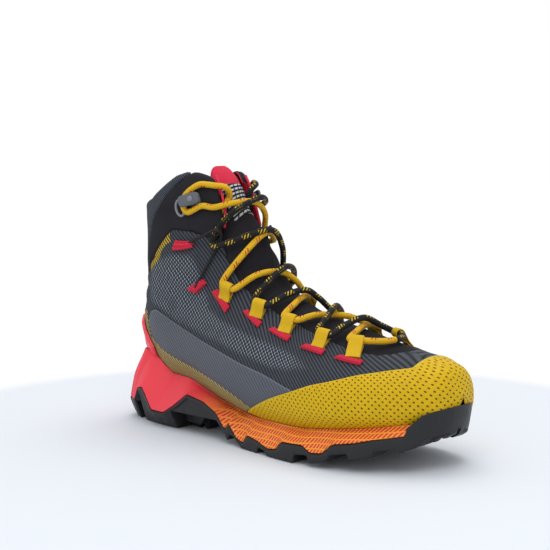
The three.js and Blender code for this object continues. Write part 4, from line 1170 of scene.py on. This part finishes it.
def wall(side, upper_y, lower_y, low, high, bulge, rows):
    """Points down one wall of a section, from its rounded top edge to its bottom edge."""
    t = np.linspace(0, 1, rows)[None]
    tall = np.maximum(high - low, 1.5)[:, None]
    z = high[:, None] - 1.0 - (tall - 1.5) * t
    out = upper_y[:, None] + (lower_y - upper_y)[:, None] * t
    out = out + side * bulge * np.sin(math.pi * t) ** 0.8
    top = [(upper_y[:, None] - side * 1.6, high[:, None]),
           (upper_y[:, None] - side * 0.6, high[:, None] - 0.12),
           (upper_y[:, None] - side * 0.15, high[:, None] - 0.5)]
    foot = [(lower_y[:, None] - side * 0.25, low[:, None] + 0.18),
            (lower_y[:, None] - side * 0.9, low[:, None])]
    ys = np.hstack([a for a, _ in top] + [out] + [a for a, _ in foot])
    zs = np.hstack([b for _, b in top] + [z] + [b for _, b in foot])
    return ys, zs


def section_loop(x, lateral_wall, floor, medial_wall):
    """Sections from the lateral wall down, across the floor and up the medial wall."""
    ys = np.hstack([lateral_wall[0], floor[0], medial_wall[0][:, ::-1]])
    zs = np.hstack([lateral_wall[1], floor[1], medial_wall[1][:, ::-1]])
    return np.stack([np.broadcast_to(x[:, None], ys.shape), ys, zs], -1)


def outline(rows, x):
    return follow(np.asarray(rows, float), x)[..., 0]


def toe_spring(height, x):
    """The height of the sole under the middle of the foot, rising towards the toe."""
    return height + np.maximum(0, x - 100) * 0.25


def make_midsole(lump):
    x = np.unique(np.concatenate([np.linspace(-149, MIDSOLE_END, 190),
                                  [-148.7, -148.2, -147.5, -146.5]]))
    low = profile(FOAM_BOTTOM_Z, x) + 0.15
    high = np.maximum(profile(FEATHER_Z, x, 2.0), low + 2)
    keel = np.minimum(low, toe_spring(KEEL["foam"], x))
    narrow, wide = outline(SOLE_LATERAL, x), outline(SOLE_MEDIAL, x)
    t = np.linspace(KEEL["share"], -KEEL["share"], 6)[None]
    floor = (np.where(t > 0, narrow[:, None] * t, -wide[:, None] * t),
             np.broadcast_to(keel[:, None], (len(x), 6)))
    walls = [wall(-side, top_edge(side, x, y), y, low, high, 0.9, 11)
             for side, y in ((1, narrow), (-1, wide))]
    sections = section_loop(x, walls[0], floor, walls[1])
    obj = cut(skin("midsole_foam", lean(sections), triangles=True), lump, 40)
    p = coordinates(obj)
    height = along(FEATHER_Z, p[:, 0]) - p[:, 2]
    fade = smooth(p[:, 0], -62, -14)
    store(obj, "pattern", np.stack([p[:, 0], height, fade], -1))
    finish_piece(obj, midsole_look(), ["midsole"])


def lug_height(x, s, y):
    """The underside of the outsole at x, at s from -1 lateral to 1 medial, and y in mm."""
    tread = profile(TREAD_Z, x, 0.45)
    ground = along(GROUND_Z, x)
    ceiling = np.minimum(profile(FOAM_BOTTOM_Z, x), toe_spring(KEEL["foam"], x)) - 1.3
    ceiling += smooth(x, 116, 128) * np.maximum(0, ground + 3 - ceiling)
    base = np.minimum(ground + LUGS["depth"], ceiling)
    arch = smooth(x, -64, -58) * smooth(-x, 16, 24)
    base = base * (1 - arch) + np.minimum(tread, 11) * arch
    edge = smooth(abs(s), 0.60, 0.63)
    chevron = x + LUGS["slant"] * abs(y) * np.where(x > LUGS["turn"], 1, -1)
    block = abs((chevron / LUGS["pitch"]) % 1 - 0.5)
    middle = smooth(block, 0.12, 0.16) * smooth(0.46 - abs(s), 0, 0.03)
    split = smooth(abs(s), 0.05, 0.09)
    centre = base + (ground - base) * middle * split * (1 - arch)
    return np.where(edge > 0, centre * (1 - edge) + tread * edge, centre)


def make_outsole(lump):
    x = np.unique(np.concatenate([np.arange(-149, 142.5, 1.0), [-148.6, -148.3, -147.5, 142.5,
                                                                142.8]]))
    foam = profile(FOAM_BOTTOM_Z, x) - 0.2
    front = x > MIDSOLE_END
    high = np.where(front, profile(BUMPER_TOP, x), foam)
    low = np.minimum(profile(TREAD_Z, x, 0.45), high - 2.2)
    narrow, wide = outline(SOLE_LATERAL, x), outline(SOLE_MEDIAL, x)
    tuck = 1 - 0.22 * smooth(-x, 66, 84) * smooth(high - low, 2, 12)
    s = np.linspace(-0.975, 0.975, 79)[None]
    middle, half = (wide + narrow) / 2 * tuck, (wide - narrow) / 2 * tuck
    y = middle[:, None] + half[:, None] * s
    spring = toe_spring(KEEL["rubber"], x)
    roof = np.minimum(high, np.where(front, high, spring)) - 1.2
    z = np.minimum(lug_height(np.broadcast_to(x[:, None], y.shape), s, y), roof[:, None])
    edges = [wall(side, y_, y_ * tuck, low, high, 0.3, 9)
             for side, y_ in ((-1, narrow), (1, wide))]
    keel = np.where(front, high, np.minimum(foam, spring))
    sections = section_loop(x, edges[0], (y, z), edges[1])
    centre, reach = (wide + narrow) / 2, KEEL["share"] * (wide - narrow) / 2
    top = np.stack([np.stack([x, centre + reach, keel], -1),
                    np.stack([x, centre - reach, keel], -1)], 1)
    sections = np.concatenate([sections, top], 1)
    obj = cut(skin("outsole_rubber", lean(sections), triangles=True), lump, 32)
    finish_piece(obj, rubber_look(), ["outsole"])


def heel_clip(u, v, p):
    x, z = p[..., 0], p[..., 2]
    corner_x, corner_z = CLIP["corner"]
    return inside(CLIP["front"] - x, feather(p) + CLIP["over_foam"],
                  corner_z + (corner_x - x) * CLIP["slope"] - z, CLIP["top"] - z)


def clip_foot(u, v, p):
    """The clip thickens towards the foam at the back."""
    return 0.6 * np.maximum(0, 64 - p[..., 2]) * smooth(-p[..., 0], 118, 134)


def make_sole():
    lump = boot_lump()
    make_midsole(lump)
    make_outsole(lump)
    bpy.data.objects.remove(lump)
    red = plastic_look("heel_clip", (0.72, 0.036, 0.058), (0.80, 0.05, 0.08), 0.42)
    panel("heel_clip", heel_clip, LAYER["clip"], red, relief=clip_foot, edge=1.2)


# ------------------------------------------------------------------ lacing hardware
def patch(name, corners, layer):
    """A plate on the surface between four (u, v) corners, with its thickness rounded at the
    edges. Corner 0 to 1 and 3 to 2 are its short ends."""
    rows, columns = 14, 8
    s, t = np.meshgrid(np.linspace(0, 1, rows), np.linspace(0, 1, columns), indexing="ij")
    c = [np.array(k, float) for k in corners]
    place = ((1 - s)[..., None] * ((1 - t)[..., None] * c[0] + t[..., None] * c[1])
             + s[..., None] * ((1 - t)[..., None] * c[3] + t[..., None] * c[2]))
    u, v = place[..., 0], place[..., 1]
    lengthwise = np.linalg.norm((c[3] - c[0]) * [1, ROUND])
    across = np.linalg.norm((c[1] - c[0]) * [1, ROUND])
    rim = np.minimum(np.minimum(s, 1 - s) * lengthwise, np.minimum(t, 1 - t) * across)
    low, high = layer
    top = above(u, v, high - 0.5 * (high - low) * (1 - smooth(rim, -0.2, 1.2)))
    bottom = above(u, v, np.full(u.shape, low))
    points = np.vstack([top.reshape(-1, 3), bottom.reshape(-1, 3)])
    index = np.arange(rows * columns).reshape(rows, columns)
    quads = np.stack([index[:-1, :-1], index[1:, :-1], index[1:, 1:], index[:-1, 1:]],
                     -1).reshape(-1, 4)
    ring = np.concatenate([index[0, :-1], index[:-1, -1], index[-1, :0:-1], index[:0:-1, 0]])
    after, deep = np.roll(ring, -1), rows * columns
    sides = np.stack([ring, after, after + deep, ring + deep], -1)
    quads = np.vstack([quads, quads[:, ::-1] + deep, sides])
    n = normal(u, v)
    first = np.cross(top[1, 0] - top[0, 0], top[0, 1] - top[0, 0])
    if first @ n[0, 0] < 0:
        quads = quads[:, ::-1]
    obj = new_mesh(name, points + SHIFT, [quads])
    obj.data.set_sharp_from_angle(angle=math.radians(50))
    values = np.stack([(t - 0.5) * across, s * lengthwise, rim], -1).reshape(-1, 3)
    store(obj, "pattern", np.tile(values, (2, 1)))
    return obj


def ribbon(name, path, across, width, thick):
    """A strip of tape along a path. across gives the direction of its width."""
    path = np.asarray(path, float)
    ahead = unit(np.gradient(path, axis=0))
    side = unit(across - ahead * (across * ahead).sum(1, keepdims=True))
    out = np.cross(ahead, side)
    half, t = np.asarray(width)[:, None] / 2, thick / 2
    ks = np.linspace(-1, 1, 7)
    edge = np.sqrt(np.clip(1 - (np.clip(abs(ks) - 0.86, 0, 1) / 0.16) ** 2, 0.12, 1))
    place = [(k, e) for k, e in zip(ks, edge)] + [(k, -e) for k, e in zip(ks[::-1], edge[::-1])]
    rings = np.stack([path + side * half * k + out * t * e for k, e in place], 1)
    count, size = rings.shape[:2]
    index = np.arange(count * size).reshape(count, size)
    right = np.roll(index, -1, axis=1)
    quads = np.stack([index[:-1], index[1:], right[1:], right[:-1]], -1).reshape(-1, 4)
    caps = []
    for ring, turned in ((index[0], False), (index[-1], True)):
        for k in range(size // 2 - 1):
            quad = [ring[k], ring[k + 1], ring[size - 2 - k], ring[size - 1 - k]]
            caps.append(quad[::-1] if turned else quad)
    obj = new_mesh(name, rings.reshape(-1, 3) + SHIFT, [quads, np.array(caps)])
    obj.data.set_sharp_from_angle(angle=math.radians(50))
    values = np.stack([half * [k for k, _ in place], np.repeat(run_along(path)[:, None], size, 1),
                       np.zeros((count, size))], -1)
    store(obj, "pattern", values.reshape(-1, 3))
    return obj


def tape_loop(name, u, v, tab):
    """Webbing folded round the lace, both ends under its tab."""
    centre = above(u, v, LOOP_LIFT)
    out = normal(u, v)
    reach = above(tab[0], tab[1], 1.0) - centre
    towards = unit(reach - out * (reach @ out))
    across = np.cross(out, towards)
    near = above(tab[0] * 0.82 + u * 0.18, tab[1] * 0.82 + v * 0.18, 1.9)
    under = above(tab[0] * 0.8 + u * 0.2, tab[1] * 0.8 + v * 0.2, 0.7)
    rise = above(tab[0] * 0.5 + u * 0.5, tab[1] * 0.5 + v * 0.5, 3.1)
    dip = above(tab[0] * 0.55 + u * 0.45, tab[1] * 0.55 + v * 0.45, 0.9)
    radius = LACE_RADIUS + TAPE["clearance"]
    arc = [centre + radius * (math.cos(a) * towards + math.sin(a) * out)
           for a in np.radians([62, 90, 120, 150, 180, 210, 240, 270])]
    path = smooth_curve([near, rise] + arc + [dip + 0.4 * out, under], 0.8)
    place = np.linspace(0, 1, len(path))
    width = TAPE["width"] - TAPE["waist"] * np.exp(-((place - 0.55) / 0.16) ** 2)
    return ribbon(name, path, np.broadcast_to(across, path.shape), width, TAPE["thick"])


def make_tab(thread, side, sign, number, corners, layer):
    tab = patch(f"tab_{side}_{number}", [(u, sign * v) for u, v in corners], layer)
    finish_piece(tab, thread, [f"anchor_tab_{side}_{number}"])


def make_eyelets():
    tape, thread = webbing_look(), tab_look()
    black = cord_look("ankle_cord", (0.010, 0.010, 0.012), (0.022, 0.022, 0.025))
    for side, sign in SIDES:
        for i, (u, v, tab) in enumerate(EYELETS, 1):
            loop = tape_loop(f"tape_{side}_{i}", u, sign * v, (tab[0], sign * tab[1]))
            finish_piece(loop, tape, [f"lace_loop_{side}_{i}"])
            corners = [(tab[0] + du, tab[1] + dv) for du, dv in TAB_SHAPE]
            make_tab(thread, side, sign, i, corners, LAYER["anchor_tab"])
        for i, corners in enumerate(ANKLE_TABS, len(EYELETS) + 1):
            make_tab(thread, side, sign, i, corners, LAYER["ankle_tab"])
        path = smooth_curve([above(a, sign * b, c) for a, b, c in ANKLE_CORD], 0.8)
        loop, _ = tube(f"ankle_cord_{side}", path, ANKLE_CORD_RADIUS, 12)
        finish_piece(loop, black, [f"ankle_loop_{side}"])


def local_frame(u, v):
    """Origin and axes on the surface: up the boot, across, and outwards."""
    origin, out = above(u, v, 0.0), normal(u, v)
    up = above(u + 4, v, 0.0) - origin
    up = unit(up - out * (up @ out))
    return origin, up, np.cross(out, up), out


def stack(name, axes, rings, power=4):
    """A rounded solid through rings of (half length, half width, height) in a local frame."""
    origin, x, y, z = axes
    a = np.radians(np.arange(0, 360, 10))
    cx = np.sign(np.cos(a)) * abs(np.cos(a)) ** (2 / power)
    cy = np.sign(np.sin(a)) * abs(np.sin(a)) ** (2 / power)
    loops = np.stack([origin + (cx * p)[:, None] * x + (cy * q)[:, None] * y + h * z
                      for p, q, h in rings])
    obj = skin(name, loops)
    obj.data.set_sharp_from_angle(angle=math.radians(45))
    return obj


def join(name, objects):
    """One mesh from several."""
    solid = bmesh.new()
    for obj in objects:
        solid.from_mesh(obj.data)
    mesh = bpy.data.meshes.new(name)
    solid.to_mesh(mesh)
    solid.free()
    for obj in objects:
        bpy.data.objects.remove(obj)
    out = bpy.data.objects.new(name, mesh)
    bpy.context.scene.collection.objects.link(out)
    return out


def make_hooks():
    grey = plastic_look("hook", (0.07, 0.078, 0.095), (0.095, 0.105, 0.125), 0.4)
    wire = plastic_look("wire", (0.13, 0.14, 0.16), (0.19, 0.20, 0.23), 0.35)
    for side, sign in SIDES:
        at = local_frame(HOOK["u"], sign * HOOK["v"])
        base = stack("base", at, [(4.2, 4.4, 0.2), (4.6, 4.8, 0.6), (4.6, 4.8, 1.2),
                                  (4.2, 4.4, 1.7), (3.6, 3.8, 1.9)])
        post = stack("post", at, [(3.4, 3.4, 1.5), (2.7, 2.7, 2.3), (2.6, 2.6, 6.2),
                                  (3.2, 3.2, 7.2)], power=2)
        back = (at[0] + CAP_BACK * sign * at[2], *at[1:])
        cap = stack("cap", back, [(3.4, 6.9, 6.6), (4.1, 7.9, 6.9), (4.4, 8.2, 7.6),
                                  (4.1, 7.9, 8.4), (3.0, 6.4, 8.9), (1.6, 3.8, 9.1)])
        hook = join(f"hook_{side}_body", [base, post, cap])
        finish_piece(hook, grey, [f"hook_{side}"])
        rivet = stack(f"rivet_{side}", at, [(2.1, 2.1, 8.6), (2.1, 2.1, 9.3), (1.7, 1.7, 9.7),
                                            (1.0, 1.0, 9.9)], power=2)
        finish_piece(rivet, wire, [f"hook_rivet_{side}"])
        centre = above(HOOK["u"] + 1, sign * (HOOK["v"] + RING["behind"] / ROUND), 1.7)
        out = normal(HOOK["u"] + 1, sign * HOOK["v"] * 1.3)
        up = unit(at[1] - out * (at[1] @ out))
        other = np.cross(out, up)
        a = np.linspace(0, 2 * np.pi, 49)
        path = (centre + RING["up"] * np.cos(a)[:, None] * up
                + RING["across"] * np.sin(a)[:, None] * other)
        ring, _ = tube(f"ring_{side}", path, RING["wire"], 12)
        finish_piece(ring, wire, [f"hook_ring_{side}"])


def make_piping():
    red = cord_look("piping", (0.55, 0.025, 0.05), (0.68, 0.04, 0.075))
    for side, sign in SIDES:
        us = np.arange(PIPING["from"], PIPING["to"], 2.0)
        v = sign * (along(THROAT, us) - PIPING["inset"] / ROUND)
        path = smooth_curve(above(us, v, np.full(us.shape, PIPING["height"])), 0.9)
        trim, _ = tube(f"piping_{side}", path, PIPING["radius"], 12)
        finish_piece(trim, red, [f"collar_piping_{side}"])


# ------------------------------------------------------------------ camera, light, floor
# Places are in metres here. The view's angles are its azimuth and its pitch, in degrees.
VIEW = {"place": (0.594, -0.6628, 0.2054), "angles": (42.3, 5.726), "lens": 83.6}
LIGHTS = {"key": (0.5, -0.7, 1.2), "top": (-0.1, 0.3, 1.3)}
FLOOR_RADIUS = 6


def make_stage():
    azimuth, pitch = (math.radians(angle) for angle in VIEW["angles"])
    camera = bpy.data.objects.new("camera", bpy.data.cameras.new("camera"))
    look = Vector((-math.sin(azimuth) * math.cos(pitch), math.cos(azimuth) * math.cos(pitch),
                   -math.sin(pitch)))
    camera.location = VIEW["place"]
    camera.rotation_euler = look.to_track_quat("-Z", "Y").to_euler()
    camera.data.lens, camera.data.sensor_width = VIEW["lens"], 36
    bpy.context.scene.collection.objects.link(camera)
    bpy.context.scene.camera = camera

    floor = bpy.data.objects.new("floor", bpy.data.meshes.new("floor"))
    corners = [(math.cos(a) * FLOOR_RADIUS, math.sin(a) * FLOOR_RADIUS, -0.0004)
               for a in (k * math.pi / 32 for k in range(64))]
    floor.data.from_pydata(corners, [], [tuple(range(64))])
    floor.data.materials.append(floor_look())
    bpy.context.scene.collection.objects.link(floor)

    world = bpy.data.worlds.new("studio")
    world.use_nodes = True
    nodes, links = world.node_tree.nodes, world.node_tree.links
    direction = nodes.new("ShaderNodeTexCoord")
    split = nodes.new("ShaderNodeSeparateXYZ")
    dome = nodes.new("ShaderNodeMapRange")
    for socket, value in zip(list(dome.inputs)[1:5], (0.2, 0.8, 1.0, 0.8)):
        socket.default_value = value
    links.new(direction.outputs["Generated"], split.inputs[0])
    links.new(split.outputs["Z"], dome.inputs["Value"])
    links.new(dome.outputs[0], nodes["Background"].inputs["Strength"])
    nodes["Background"].inputs["Color"].default_value = (1, 1, 1, 1)
    bpy.context.scene.world = world
    for name, place in LIGHTS.items():
        light = bpy.data.objects.new(name, bpy.data.lights.new(name, "AREA"))
        light.data.size, light.data.energy = 0.8, 6.0
        light.location = place
        towards = Vector((0, 0, 0.08)) - Vector(place)
        light.rotation_euler = towards.to_track_quat("-Z", "Y").to_euler()
        bpy.context.scene.collection.objects.link(light)
    bpy.context.scene.view_settings.view_transform = "Standard"
    bpy.context.scene.view_settings.look = "None"


make_stage()
make_laces()
make_upper()
make_inside()
make_tongue()
make_sole()
make_eyelets()
make_hooks()
make_piping()
